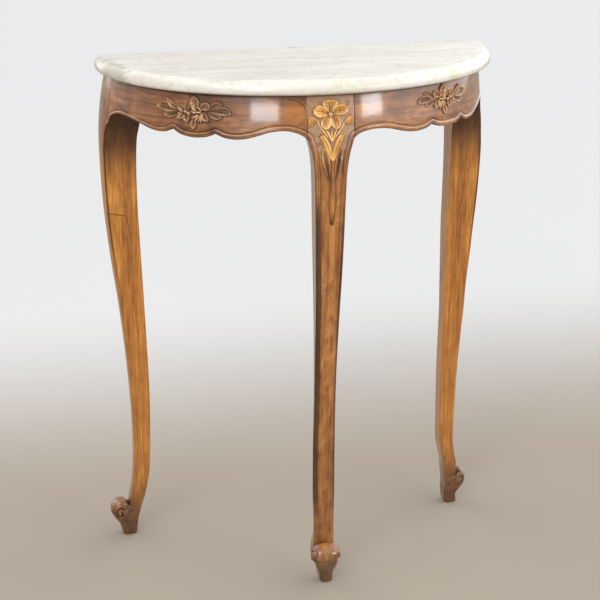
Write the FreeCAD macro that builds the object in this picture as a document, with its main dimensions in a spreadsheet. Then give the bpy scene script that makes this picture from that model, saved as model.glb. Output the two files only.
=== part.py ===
import FreeCAD, Part
import math
import os
from FreeCAD import Placement, Rotation, Vector

# Half-round pier table: a moulded marble slab on a curved, scalloped apron and three cabriole legs.
# X runs along the wall, +Y points into the wall, +Z is up.
# The origin is the middle of the footprint, on the floor. Millimetres.

doc = FreeCAD.newDocument("pier_table")

# Driving dimensions: alias, value, what it measures.
sizes = [
    ("table_height", 780, "floor to the slab's polished face"),
    ("top_width", 600, "slab, over the nose of its edge"),
    ("top_depth", 260, "slab, wall to the nose at the front"),
    ("slab_thickness", 21, "marble"),
    ("back_return", 13, "wall to the line that the ovals are centred on"),
    ("nose_height", 7, "underside of the slab to the widest line of its edge"),
    ("edge_top_inset", 13.5, "nose to the upper arris"),
    ("edge_foot_inset", 9.5, "nose to the lower arris"),
    ("frame_setback", 16, "slab nose to the top of the apron"),
    ("wall_gap", 5, "slab back to the back of the legs and rail"),
    ("apron_drop", 61.5, "top of the apron to its lowest lobe"),
    ("apron_thickness", 20, "curved board, at its top edge"),
    ("cusp_rise", 11, "lobe to the point between two lobes"),
    ("arch_rise", 13, "lobe to the crown of the arch beside a leg"),
    ("bead_height", 7, "band along the scalloped edge"),
    ("bead_proud", 1.6, "band in front of the apron's field"),
    ("knee_height", 660, "floor to the widest point of a leg's curve"),
    ("knee_swell", 10.4, "knee in front of the apron's top"),
    ("ankle_height", 170, "floor to the narrowest point of the curve"),
    ("ankle_inset", 17, "ankle behind the apron's top"),
    ("foot_height", 75, "floor to the start of the scroll"),
    ("scroll_neck", 6, "start of the scroll up to where a leg's sides run straight"),
    ("foot_inset", 14, "leg behind the apron's top, where the scroll starts"),
    ("post_depth", 45, "square top of a leg, outside to inside"),
    ("knee_depth", 51, "leg at the knee, outside to inside"),
    ("calf_depth", 38.5, "leg halfway between ankle and knee"),
    ("ankle_depth", 26, "leg at the ankle"),
    ("foot_depth", 22, "leg where the scroll starts"),
    ("front_post_width", 66, "front leg between the two aprons"),
    ("front_knee_width", 47, "front leg across its face, at the knee"),
    ("front_calf_width", 34.6, "halfway down"),
    ("front_ankle_width", 31.5, "at the ankle"),
    ("front_scroll_width", 34, "across the front foot's scroll"),
    ("rear_post_width", 59, "rear leg, back to the apron joint"),
    ("rear_knee_width", 43, "rear leg across its face, at the knee"),
    ("rear_calf_width", 31, "halfway down"),
    ("rear_ankle_width", 26, "at the ankle"),
    ("rear_scroll_width", 28, "across a rear foot's scroll"),
    ("front_wing_height", 34, "stretch in which the front leg spreads to meet the apron"),
    ("front_wing_rise", 2, "lowest lobe up to the end of the front leg's edge"),
    ("rear_wing_height", 43, "stretch in which a rear leg spreads to meet the apron"),
    ("rear_wing_drop", 6.5, "lowest lobe down to the end of a rear leg's edge"),
    ("scroll_radius", 14, "volute of the foot"),
    ("scroll_height", 48, "floor to the volute's eye"),
    ("ear_radius", 12.5, "raised spiral on the side of the volute"),
    ("ear_proud", 4, "spiral in front of the scroll's side"),
    ("eye_radius", 4, "button in the middle of the spiral"),
    ("eye_proud", 1.5, "button in front of the spiral"),
    ("block_width", 20, "block that stands on the floor"),
    ("block_inset", 2, "block behind the apron's top"),
    ("rail_height", 58, "back rail"),
    ("rail_thickness", 18, "back rail"),
    ("bearer_width", 44, "bar from the front leg to the back rail"),
    ("bearer_thickness", 20, "bar under the slab"),
    ("tenon_length", 12, "stub tenons of the bearer"),
    ("tenon_width", 26, "stub tenons, across"),
    ("tenon_thickness", 10, "stub tenons, up and down"),
    ("glue_gap", 0.1, "room round a dowel or tenon"),
    ("dowel_radius", 4, "joint dowels"),
    ("dowel_length", 36, "joint dowels"),
    ("dowel_top", 16, "frame top to the upper dowel"),
    ("dowel_pitch", 20, "upper dowel to lower dowel"),
    ("rear_dowel_shift", 2, "rear dowels inside the middle of the apron's thickness"),
    ("block_reach", 34, "corner block along each glued face"),
    ("block_height", 30, "corner block, up and down"),
    ("block_top", 14, "frame top to the corner block"),
    ("screw_radius", 2, "corner-block screw, shank"),
    ("screw_head_radius", 4, "corner-block screw, head"),
    ("screw_head_height", 3, "corner-block screw, head"),
    ("screw_grip", 12, "screw in the rail or post"),
    ("screw_pitch", 10, "rail screw to post screw, down"),
]

sheet = doc.addObject("Spreadsheet::Sheet", "Sizes")
for row, (alias, value, note) in enumerate(sizes, start=1):
    sheet.set("A%d" % row, alias)
    sheet.set("B%d" % row, str(value))
    sheet.set("C%d" % row, note)
    sheet.setAlias("B%d" % row, alias)
doc.recompute()


def size(alias):
    return float(sheet.get(alias))


# Heights and places that several pieces share, as formulas on the sheet and as numbers.
frameTop = "(Sizes.table_height - Sizes.slab_thickness)"
backY = "(Sizes.top_depth / 2 - Sizes.wall_gap)"
centreY = "(Sizes.top_depth / 2 - Sizes.back_return)"
halfWidth = "(Sizes.top_width / 2 - Sizes.frame_setback)"
halfDepth = "(Sizes.top_depth - Sizes.back_return - Sizes.frame_setback)"
postInnerX = "(%s - Sizes.post_depth)" % halfWidth
postFrontY = "(%s - Sizes.rear_post_width)" % backY
frontPostBackY = "(%s - %s + Sizes.post_depth)" % (centreY, halfDepth)
railFrontY = "(%s - Sizes.rail_thickness)" % backY
blockTopZ = "(%s - Sizes.block_top)" % frameTop

frameTopZ = size("table_height") - size("slab_thickness")
lobeZ = frameTopZ - size("apron_drop")
centreLineY = size("top_depth") / 2 - size("back_return")
ovalX = size("top_width") / 2 - size("frame_setback")
ovalY = size("top_depth") - size("back_return") - size("frame_setback")
backFaceY = size("top_depth") / 2 - size("wall_gap")
rearReach = centreLineY - (backFaceY - size("rear_post_width"))


# ---- helpers -------------------------------------------------------------------------------

def make(kind, name, bindings=None, **properties):
    """One document object, its properties set and its sizes bound to the sheet."""
    item = doc.addObject(kind, name)
    for key, value in properties.items():
        setattr(item, key, value)
    for key, formula in (bindings or {}).items():
        item.setExpression(key, formula)
    return item


def box(name, corner, extent):
    keys = ("Placement.Base.x", "Placement.Base.y", "Placement.Base.z", "Length", "Width", "Height")
    return make("Part::Box", name, dict(zip(keys, corner + extent)))


def rod(name, start, direction, radius, length):
    """A cylinder from a start point along a direction."""
    keys = ("Placement.Base.x", "Placement.Base.y", "Placement.Base.z", "Radius", "Height")
    turn = Rotation(Vector(0, 0, 1), Vector(*direction))
    return make("Part::Cylinder", name, dict(zip(keys, start + (radius, length))),
                Placement=Placement(Vector(), turn))


def fuse(name, *shapes):
    return make("Part::MultiFuse", name, Shapes=list(shapes))


def common(name, *shapes):
    return make("Part::MultiCommon", name, Shapes=list(shapes))


def cut(name, base, *tools):
    tool = tools[0] if len(tools) == 1 else fuse(name + "_voids", *tools)
    return make("Part::Cut", name, Base=base, Tool=tool)


def outline(name, curves, placement):
    sketch = make("Sketcher::SketchObject", name, Placement=placement)
    sketch.addGeometry(curves, False)
    return sketch


def line(start, end):
    return Part.LineSegment(Vector(start[0], start[1], 0), Vector(end[0], end[1], 0))


def spline(points):
    curve = Part.BSplineCurve()
    curve.interpolate([Vector(x, y, 0) for x, y in points])
    return curve


def oval(name, height, outward, setback="Sizes.frame_setback"):
    """A level oval about the table's centre line, outward of the apron's top or of the nose. It
    starts and ends behind the wall, where the seam of a loft clears every piece."""
    return make("Part::Ellipse", name, {
        "MajorRadius": "Sizes.top_width / 2 - %s + (%s)" % (setback, outward),
        "MinorRadius": "Sizes.top_depth - Sizes.back_return - %s + (%s)" % (setback, outward),
        "Placement.Base.y": centreY,
        "Placement.Base.z": height}, Angle1=90, Angle2=90)


def loft(name, sections, ruled):
    return make("Part::Loft", name, Sections=sections, Solid=True, Ruled=ruled)


# ---- marble slab ---------------------------------------------------------------------------

def edgeStations(steps=5):
    """(height above the underside, inset from the nose) up the slab's moulded edge: a quarter of
    an ellipse below the nose and a larger one above it."""
    for k in range(steps, 0, -1):
        turn = math.pi / 2 * k / steps
        yield ("Sizes.nose_height * %g" % (1 - math.sin(turn)),
               "Sizes.edge_foot_inset * %g" % (1 - math.cos(turn)))
    for k in range(steps + 1):
        turn = math.pi / 2 * k / steps
        yield ("Sizes.nose_height + (Sizes.slab_thickness - Sizes.nose_height) * %g" % math.sin(turn),
               "Sizes.edge_top_inset * %g" % (1 - math.cos(turn)))


slabRings = [oval("slab_ring_%d" % k, "%s + %s" % (frameTop, height), "-" + inset, "0")
             for k, (height, inset) in enumerate(edgeStations())]
slabOval = loft("slab_oval", slabRings, True)
slabRoom = box("slab_room",
               ("-Sizes.top_width", "-Sizes.top_depth", frameTop),
               ("Sizes.top_width * 2", "Sizes.top_depth * 1.5", "Sizes.slab_thickness"))
marbleTop = common("marble_top", slabOval, slabRoom)


# ---- swelling envelope ---------------------------------------------------------------------
# The outside of the apron and of every leg lies on one surface: the S-curve of the leg carried
# round the oval. It swells from the apron's top to the knee and draws in to the ankle. The legs take
# it as one smooth loft, and the aprons take their short stretch of it as narrow ruled bands.

def legCurveStations(steps=6):
    """(height, outward) from the foot to the apron's top."""
    yield "Sizes.foot_height", "-Sizes.foot_inset"
    for k in range(steps + 1):
        turn = (1 - math.cos(math.pi * k / steps)) / 2
        yield ("Sizes.ankle_height + (Sizes.knee_height - Sizes.ankle_height) * %g" % (k / steps),
               "(Sizes.knee_swell + Sizes.ankle_inset) * %g - Sizes.ankle_inset" % turn)


def apronCurveStations(steps=5):
    """(height, outward) from the knee to the apron's top, a quarter of an ellipse in effect."""
    for k in range(steps + 1):
        yield ("Sizes.knee_height + (%s - Sizes.knee_height) * %g" % (frameTop, k / steps),
               "Sizes.knee_swell * %g" % (1 - (k / steps) ** 2))


legRings = [oval("leg_ring_%d" % k, height, outward)
            for k, (height, outward) in enumerate(list(legCurveStations()) +
                                                  list(apronCurveStations())[1:])]
envelope = loft("envelope", legRings, False)
fieldRings = [oval("field_ring_%d" % k, height, outward)
              for k, (height, outward) in enumerate(apronCurveStations())]
fieldEnvelope = loft("field_envelope", fieldRings, True)
beadRings = [oval("bead_ring_%d" % k, height, outward + " + Sizes.bead_proud")
             for k, (height, outward) in enumerate(apronCurveStations())]
beadEnvelope = loft("bead_envelope", beadRings, True)
footRoom = box("foot_room",
               ("-Sizes.top_width", "-Sizes.top_depth", "0"),
               ("Sizes.top_width * 2", "Sizes.top_depth * 2", "Sizes.foot_height"))
legEnvelope = fuse("leg_envelope", envelope, footRoom)


# ---- cabriole legs -------------------------------------------------------------------------
# Each leg is sawn from the square along two faces, the side view (outward, height) and the face
# view (across, height), and its outside is shaped to the envelope.

voluteTurns = (150, 75, -30)                  # crease, crown and nose of the volute, in degrees
throatShares = ((0.45, 0.62), (0.1, 0.42))    # throat: shares of the volute's radius and eye height
blockTopShare, heelShare = 0.22, 0.7          # block's front edge and the heel: of the eye height
footSteps = ((0, 0), (0.1, 0.37), (0.75, 0.64), (1, 1))    # block to scroll: of the step, the height
wingBow = {"front": 0.27, "rear": 0.35}       # how much of its spread a wing has halfway up


def legLine(height):
    """How far the leg's front line stands outward of the apron's top, ankle to knee."""
    share = (height - size("ankle_height")) / (size("knee_height") - size("ankle_height"))
    turn = (1 - math.cos(math.pi * share)) / 2
    return (size("knee_swell") + size("ankle_inset")) * turn - size("ankle_inset")


def sideView():
    """Closed outline of a leg seen from its side: x outward, y up."""
    clear = size("knee_swell") * 3
    footZ, footX = size("foot_height"), -size("foot_inset")
    radius, eyeZ = size("scroll_radius"), size("scroll_height")
    blockOut = -size("block_inset")
    blockIn = blockOut - size("block_width")
    calfZ = (size("ankle_height") + size("knee_height")) / 2
    postIn = -size("post_depth")

    def onVolute(degrees):
        turn = math.radians(degrees)
        return radius * math.cos(turn), eyeZ + radius * math.sin(turn)

    crease, crown, nose = [onVolute(turn) for turn in voluteTurns]
    volute = Part.Arc(*[Vector(x, y, 0) for x, y in (crease, crown, nose)])
    throat = spline([nose] + [(radius * across, eyeZ * up) for across, up in throatShares]
                    + [(blockOut, eyeZ * blockTopShare), (blockOut, 0)])
    heelOut = (blockIn * 2 + footX - size("foot_depth")) / 3
    inside = spline([(blockIn, 0), (heelOut, eyeZ * heelShare),
                     (footX - size("foot_depth"), footZ),
                     (legLine(size("ankle_height")) - size("ankle_depth"), size("ankle_height")),
                     (legLine(calfZ) - size("calf_depth"), calfZ),
                     (size("knee_swell") - size("knee_depth"), size("knee_height")),
                     (postIn, lobeZ)])
    return [line((clear, frameTopZ), (clear, footZ)), line((clear, footZ), (footX, footZ)),
            line((footX, footZ), crease), volute, throat, line((blockOut, 0), (blockIn, 0)),
            inside, line((postIn, lobeZ), (postIn, frameTopZ)),
            line((postIn, frameTopZ), (clear, frameTopZ))]


def footEdge(prefix):
    """(half width, height) of a foot in the face view, from the block up to the volute's eye."""
    block, scroll = size("block_width") / 2, size(prefix + "_scroll_width") / 2
    return [(block + (scroll - block) * step, size("scroll_height") * up) for step, up in footSteps]


def shaftEdge(prefix, start, spread):
    """Points of one edge in the face view, from the scroll to the apron joint. The edge stands
    start + width * spread from the leg's own centre or back."""
    rise = size("front_wing_rise") if prefix == "front" else -size("rear_wing_drop")
    joint, wingHeight = lobeZ + rise, size(prefix + "_wing_height")
    calfZ = (size("ankle_height") + size("knee_height")) / 2

    def edge(part):
        return start + size("%s_%s_width" % (prefix, part)) * spread

    knee, post = edge("knee"), edge("post")
    return [(edge("ankle"), size("foot_height") + size("scroll_neck")),
            (edge("ankle"), size("ankle_height")), (edge("calf"), calfZ),
            (knee, joint - wingHeight),
            (knee + (post - knee) * wingBow[prefix], joint - wingHeight / 2), (post, joint)]


def faceView(prefix):
    """Closed outline of a leg seen from outside: x across, y up."""
    foot = footEdge(prefix)
    if prefix == "front":
        right = foot + shaftEdge(prefix, 0, 0.5)
        left = [(-x, y) for x, y in right]
    else:
        middle = size("rear_ankle_width") / 2
        right = [(middle + half, z) for half, z in foot] + shaftEdge(prefix, 0, 1)
        left = [(middle - half, z) for half, z in foot]
        left += [(0, size("foot_height") + size("scroll_neck")), (0, size("ankle_height")), (0, lobeZ)]
    top = frameTopZ
    curves = [spline(right), line(right[-1], (right[-1][0], top)),
              line((right[-1][0], top), (left[-1][0], top)),
              line((left[-1][0], top), left[-1])]
    if prefix == "front":
        curves.append(spline(left[::-1]))
    else:
        curves += [line(left[-1], left[-3]), spline(left[-3::-1])]
    return curves + [line(left[0], right[0])]


def leg(name, prefix, outward, across, origin, holes):
    """A cabriole leg. outward and across are level unit vectors of the row."""
    up = Vector(0, 0, 1)
    sidePlane = Placement(origin, Rotation(outward, up, outward.cross(up)))
    facePlane = Placement(origin, Rotation(across, up, across.cross(up)))
    reach = {"LengthFwd": "Sizes.top_depth"}
    side = make("Part::Extrusion", name + "_side", reach, Solid=True, Symmetric=True,
                Base=outline(name + "_side_view", sideView(), sidePlane), DirMode="Normal")
    face = make("Part::Extrusion", name + "_face", reach, Solid=True, Symmetric=True,
                Base=outline(name + "_face_view", faceView(prefix), facePlane), DirMode="Normal")
    shaped = common(name + "_shaped", legEnvelope, side, face)
    middle = 0 if prefix == "front" else size("rear_ankle_width") / 2
    eye = origin + across * middle + up * size("scroll_height")
    ears = []
    for turn in ((1, -1) if prefix == "front" else (1,)):
        for part in ("ear", "eye"):
            length = "Sizes.%s_scroll_width / 2 + Sizes.ear_proud" % prefix
            length += " + Sizes.eye_proud" if part == "eye" else ""
            ears.append(make("Part::Cylinder", "%s_%s_%s" % (name, part, "ab"[turn < 0]),
                             {"Radius": "Sizes.%s_radius" % part, "Height": length},
                             Placement=Placement(eye, Rotation(up, across * turn))))
    return cut(name, fuse(name + "_carved", shaped, *ears), *holes)


# ---- dowels, tenons, screws ----------------------------------------------------------------

upperDowel = "%s - Sizes.dowel_top" % frameTop
lowerDowel = upperDowel + " - Sizes.dowel_pitch"
betweenDowels = upperDowel + " - Sizes.dowel_pitch / 2"
jointDowels = []


def dowelPair(name, x, y, direction):
    """Two dowels across a joint at (x, y), and the two holes that take them."""
    holes = []
    for label, z in (("upper", upperDowel), ("lower", lowerDowel)):
        for part, radius, length in (
                ("dowel", "Sizes.dowel_radius", "Sizes.dowel_length"),
                ("hole", "Sizes.dowel_radius + Sizes.glue_gap",
                 "Sizes.dowel_length + 2 * Sizes.glue_gap")):
            start = ("%s - %d * (%s) / 2" % (x, direction[0], length),
                     "%s - %d * (%s) / 2" % (y, direction[1], length), z)
            item = rod("%s_%s_%s" % (name, label, part), start, direction, radius, length)
            (jointDowels if part == "dowel" else holes).append(item)
    return holes


def chord(reach, across):
    """Middle of the apron's thickness on its oval, at a given distance from the other axis."""
    inner = [axis - size("apron_thickness") for axis in (ovalX, ovalY)]
    axes = (ovalX, ovalY) if across == "x" else (ovalY, ovalX)
    innerAxes = inner if across == "x" else inner[::-1]
    outer = axes[1] * math.sqrt(1 - (reach / axes[0]) ** 2)
    return (outer + innerAxes[1] * math.sqrt(1 - (reach / innerAxes[0]) ** 2)) / 2


# ---- aprons --------------------------------------------------------------------------------
# The scalloped lower edge is one pattern wrapped round the oval: bearings in degrees, 90 at the
# middle of the front and 0 at the wall, and heights. Three lobes, two cusps, an arch at each leg.

def scallop():
    cusp, crown = lobeZ + size("cusp_rise"), lobeZ + size("arch_rise")
    kneeX, kneeY = ovalX + size("knee_swell"), ovalY + size("knee_swell")
    frontJoint = math.degrees(math.acos(size("front_post_width") / 2 / kneeX))
    rearJoint = math.degrees(math.asin(rearReach / kneeY))
    frontEnd = lobeZ + size("front_wing_rise")
    frontArch = [(frontJoint + 1, frontEnd - 4), (frontJoint, frontEnd), (frontJoint - 6.3, crown),
                 (70.4, lobeZ + 7), (65, lobeZ + 0.8), (60.7, lobeZ + 2.6), (57.8, cusp)]
    middleLobe = [(57.8, cusp), (54.8, lobeZ + 2.4), (51.2, lobeZ), (47.4, lobeZ + 2.4), (44.4, cusp)]
    rearEnd = lobeZ - size("rear_wing_drop")
    rearArch = [(44.4, cusp), (42.2, lobeZ + 5), (38.8, lobeZ + 3.2), (34, lobeZ + 6.8),
                (27.5, crown), (rearJoint + 10.3, crown + 2), (rearJoint + 4, lobeZ + 10),
                (rearJoint, rearEnd), (rearJoint - 1, rearEnd - 8)]
    return frontArch, middleLobe, rearArch


def wrappedVoid(name, sign, lift, drop):
    """Everything below the scalloped line, lifted by lift, as radial walls round the oval, from
    well inside the board to well outside it."""
    solids = []
    for knots in scallop():
        rails = []
        for scale in (0.75, 1.1):
            curve = Part.BSplineCurve()
            curve.interpolate([Vector(sign * ovalX * scale * math.cos(math.radians(bearing)),
                                      centreLineY - ovalY * scale * math.sin(math.radians(bearing)),
                                      height + lift) for bearing, height in knots])
            rails.append(curve.toShape())
        solids.append(Part.makeRuledSurface(*rails).extrude(Vector(0, 0, -drop)))
    return make("Part::Feature", name, Shape=solids[0].fuse(solids[1:]).removeSplitter())


core = make("Part::Extrusion", "apron_core", {"LengthFwd": "Sizes.table_height"}, Solid=True,
            Base=oval("apron_core_oval", "0", "-Sizes.apron_thickness"), DirMode="Normal")


def apron(side, sign, holes):
    name = side + "_apron"
    left = "Sizes.front_post_width / 2" if sign > 0 else "-Sizes.top_width"
    width = "Sizes.top_width - Sizes.front_post_width / 2"
    reach = "(Sizes.apron_drop + Sizes.rear_wing_drop * 2)"
    sector = box(name + "_sector", (left, "-Sizes.top_depth", "%s - %s" % (frameTop, reach)),
                 (width, "Sizes.top_depth + %s" % postFrontY, reach))
    board = common(name + "_board", fieldEnvelope, sector)
    bandLine = wrappedVoid(name + "_band_line", sign, size("bead_height"), size("apron_drop") * 2)
    bead = common(name + "_bead", beadEnvelope, sector, bandLine)
    scallops = wrappedVoid(name + "_scallops", sign, 0, size("apron_drop") * 2)
    return cut(name, fuse(name + "_blank", board, bead), core, scallops, *holes)


# ---- the joints, then the pieces that meet at them -----------------------------------------

frontJointY = "%s - %.4f" % (centreY, chord(size("front_post_width") / 2, "x"))
rearJointX = "%.4f" % (chord(rearReach, "y") - size("rear_dowel_shift"))
railY = "%s - Sizes.rail_thickness / 2" % backY

frontHoles, rearHoles, railHoles = {}, {}, {}
for side, sign in (("left", -1), ("right", 1)):
    flip = "-" if sign < 0 else ""
    frontHoles[side] = dowelPair("front_%s" % side, flip + "Sizes.front_post_width / 2",
                                 frontJointY, (1, 0, 0))
    rearHoles[side] = dowelPair("rear_%s" % side, flip + rearJointX, postFrontY, (0, 1, 0))
    railHoles[side] = dowelPair("rail_%s" % side, flip + postInnerX, railY, (1, 0, 0))


def tenonPocket(name, y, direction, gap):
    """Stub tenon of the bearer, or with a gap the mortise that takes it."""
    room = "Sizes.glue_gap * %d" % gap
    low = "%s - %s" % (y, "(Sizes.tenon_length + %s)" % room) if direction < 0 else y
    return box(name, ("-Sizes.tenon_width / 2 - %s" % room, low,
                      "%s - Sizes.bearer_thickness / 2 - Sizes.tenon_thickness / 2 - %s"
                      % (frameTop, room)),
               ("Sizes.tenon_width + 2 * %s" % room, "Sizes.tenon_length + %s" % room,
                "Sizes.tenon_thickness + 2 * %s" % room))


bearerBar = box("bearer_bar", ("-Sizes.bearer_width / 2", frontPostBackY,
                               "%s - Sizes.bearer_thickness" % frameTop),
                ("Sizes.bearer_width", "%s - %s" % (railFrontY, frontPostBackY),
                 "Sizes.bearer_thickness"))
centreBearer = fuse("centre_bearer", bearerBar,
                    tenonPocket("front_tenon", frontPostBackY, -1, 0),
                    tenonPocket("back_tenon", railFrontY, 1, 0))
frontMortise = tenonPocket("front_mortise", frontPostBackY, -1, 1)
backMortise = tenonPocket("back_mortise", railFrontY, 1, 1)

# Rear corner blocks: triangles glued and screwed into the corner of post and rail.
blockScrews, screwHoles, cornerBlocks = [], {"left": [], "right": []}, []
for side, sign in (("left", -1), ("right", 1)):
    name = "rear_%s_block" % side
    innerX = sign * (ovalX - size("post_depth"))
    railY0 = backFaceY - size("rail_thickness")
    corner = [(innerX, railY0), (innerX, railY0 - size("block_reach")),
              (innerX - sign * size("block_reach"), railY0)]
    base = outline(name + "_plan", [line(corner[k], corner[(k + 1) % 3]) for k in range(3)],
                   Placement(Vector(0, 0, frameTopZ - size("block_top") - size("block_height")),
                             Rotation()))
    prism = make("Part::Extrusion", name + "_prism", {"LengthFwd": "Sizes.block_height"},
                 Base=base, Solid=True, Dir=Vector(0, 0, 1), DirMode="Custom")
    flip = "-" if sign < 0 else ""
    seat = "Sizes.block_reach / 4"
    sunk = []
    for way, z in (("rail", betweenDowels), ("post", betweenDowels + " - Sizes.screw_pitch")):
        toPost = way == "post"
        direction = (sign, 0, 0) if toPost else (0, 1, 0)
        x = flip + "(%s - %s)" % (postInnerX, seat if toPost else "Sizes.block_reach / 2")
        y = "%s - %s" % (railFrontY, "Sizes.block_reach / 2" if toPost else seat)
        shank = rod("%s_%s_shank" % (name, way), (x, y, z), direction, "Sizes.screw_radius",
                    "%s + Sizes.screw_grip" % seat)
        back = tuple(-step for step in direction)
        head = rod("%s_%s_head" % (name, way), (x, y, z), back, "Sizes.screw_head_radius",
                   "Sizes.screw_head_height")
        blockScrews.append(fuse("%s_%s_screw" % (name, way), shank, head))
        pilot = rod("%s_%s_pilot" % (name, way), (x, y, z), direction, "Sizes.screw_radius",
                    "%s + Sizes.screw_grip" % seat)
        sink = rod("%s_%s_sink" % (name, way), (x, y, z), back,
                   "Sizes.screw_head_radius + Sizes.glue_gap * 2", "Sizes.block_reach")
        sunk += [pilot, sink]
        if toPost:
            rearHoles[side].append(pilot)
        else:
            railHoles[side].append(pilot)
    cornerBlocks.append(cut(name, prism, *sunk))

    # Front glue blocks: in the corner of the front post and the apron's hollow side.
    name = "front_%s_block" % side
    left = flip + "Sizes.front_post_width / 2" + (" - Sizes.block_reach" if sign < 0 else "")
    cube = box(name + "_cube", (left, "%s - Sizes.block_reach" % frontPostBackY,
                                "%s - Sizes.block_height" % blockTopZ),
               ("Sizes.block_reach", "Sizes.block_reach", "Sizes.block_height"))
    cornerBlocks.append(common(name, cube, core))

railBar = box("rail_bar", ("-" + postInnerX, railFrontY, "%s - Sizes.rail_height" % frameTop),
              ("2 * %s" % postInnerX, "Sizes.rail_thickness", "Sizes.rail_height"))
backRail = cut("back_rail", railBar, backMortise, *railHoles["left"], *railHoles["right"])

outX, outY = Vector(1, 0, 0), Vector(0, -1, 0)
frontLeg = leg("front_leg", "front", outY, outX, Vector(0, centreLineY - ovalY, 0),
               [frontMortise] + frontHoles["left"] + frontHoles["right"])
leftLeg = leg("left_leg", "rear", -outX, outY, Vector(-ovalX, backFaceY, 0),
              rearHoles["left"] + railHoles["left"])
rightLeg = leg("right_leg", "rear", outX, outY, Vector(ovalX, backFaceY, 0),
               rearHoles["right"] + railHoles["right"])
leftApron = apron("left", -1, frontHoles["left"] + rearHoles["left"])
rightApron = apron("right", 1, frontHoles["right"] + rearHoles["right"])

dowels = make("Part::Compound", "joint_dowels", Links=jointDowels)
screws = make("Part::Compound", "block_screws", Links=blockScrews)

nodes = [marbleTop, frontLeg, leftLeg, rightLeg, leftApron, rightApron, backRail, centreBearer,
         dowels, screws] + cornerBlocks

# ---- build, check, write -------------------------------------------------------------------

doc.recompute()
for item in doc.Objects:
    if "Invalid" in item.State or "Error" in item.State:
        raise RuntimeError("%s did not build: %s" % (item.Name, item.State))
os.makedirs("parts", exist_ok=True)
for node in nodes:
    node.Label = node.Name
    if node.Shape.isNull() or not node.Shape.isValid():
        raise RuntimeError("%s has no valid shape" % node.Name)
    bounds = node.Shape.BoundBox
    print("%-20s %2d solids %10.0f mm3  x %.1f..%.1f  y %.1f..%.1f  z %.1f..%.1f" % (
        node.Label, len(node.Shape.Solids), node.Shape.Volume, bounds.XMin, bounds.XMax,
        bounds.YMin, bounds.YMax, bounds.ZMin, bounds.ZMax))
    node.Shape.exportStep("parts/%s.step" % node.Label)
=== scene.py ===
import math

import bpy
import numpy as np
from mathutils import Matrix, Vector


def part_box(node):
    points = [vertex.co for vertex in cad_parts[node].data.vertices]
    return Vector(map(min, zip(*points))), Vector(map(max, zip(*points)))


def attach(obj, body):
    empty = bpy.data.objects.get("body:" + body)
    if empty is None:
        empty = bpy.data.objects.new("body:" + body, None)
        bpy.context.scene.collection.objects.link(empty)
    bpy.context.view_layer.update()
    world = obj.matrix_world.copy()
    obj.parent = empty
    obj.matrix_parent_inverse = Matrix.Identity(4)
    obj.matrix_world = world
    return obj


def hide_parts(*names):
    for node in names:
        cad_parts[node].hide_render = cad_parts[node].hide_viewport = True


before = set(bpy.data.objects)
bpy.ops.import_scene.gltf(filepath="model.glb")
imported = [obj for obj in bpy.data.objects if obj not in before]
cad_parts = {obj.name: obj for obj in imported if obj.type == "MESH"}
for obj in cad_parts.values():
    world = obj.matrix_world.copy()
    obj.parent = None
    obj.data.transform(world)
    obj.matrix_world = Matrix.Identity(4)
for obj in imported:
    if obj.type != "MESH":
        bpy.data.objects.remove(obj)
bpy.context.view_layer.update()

print("frame loaded")

# Shapes are worked out in millimetres in the frame's own axes, and makePiece turns them to metres.
# X runs along the wall, +Y points into the wall, +Z is up.
mm = 0.001
slabLow, slabHigh = (np.array(corner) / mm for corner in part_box("marble_top"))
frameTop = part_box("front_leg")[1].z / mm
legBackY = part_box("left_leg")[1].y / mm

frameShape = {
    "backReturn": 13,       # wall to the line that all ovals are centred on
    "setback": 16,          # slab nose to the apron's top
    "kneeHeight": 660, "kneeSwell": 10.4,
    "ankleHeight": 170, "ankleInset": 17,
    "footRise": 3.2, "footSpan": 95,      # how far the leg comes forward again below the ankle
    "boardThickness": 20,
    "seamX": 33,            # joint between front leg and apron
    "rearPost": 59,         # rear leg's back to its joint with the apron
    "lobeHeight": 697.5,    # lowest point of the scalloped edge
}
ovalCentreY = slabHigh[1] - frameShape["backReturn"]
ovalX = slabHigh[0] - frameShape["setback"]
ovalY = ovalCentreY - slabLow[1] - frameShape["setback"]
legFrontY = ovalCentreY - ovalY


def swell(z):
    # How far the outside stands outward of the apron's top line: a quarter ellipse from the top to
    # the knee, half a cosine wave from knee to ankle, and a parabola below the ankle.
    knee, ankle = frameShape["kneeHeight"], frameShape["ankleHeight"]
    out, back = frameShape["kneeSwell"], frameShape["ankleInset"]
    upper = out * (1 - ((z - knee) / (frameTop - knee)) ** 2)
    share = np.clip((z - ankle) / (knee - ankle), 0, 1)
    middle = (out + back) * (1 - np.cos(np.pi * share)) / 2 - back
    lower = frameShape["footRise"] * ((ankle - z) / frameShape["footSpan"]) ** 2 - back
    return np.where(z > knee, upper, np.where(z > ankle, middle, lower))


# Arc length along the apron's top oval, zero at the middle of the front, against eccentric angle.
bearingTable = np.linspace(-0.1, math.pi + 0.1, 4001)
arcSteps = np.hypot(np.diff(ovalX * np.cos(bearingTable)), np.diff(ovalY * np.sin(bearingTable)))
arcTable = np.concatenate([[0], np.cumsum(arcSteps)])
arcTable = np.interp(math.pi / 2, bearingTable, arcTable) - arcTable


def arcAt(bearing):
    return np.interp(bearing, bearingTable, arcTable)


def bearingAt(arc):
    return np.interp(arc, arcTable[::-1], bearingTable[::-1])


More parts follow.
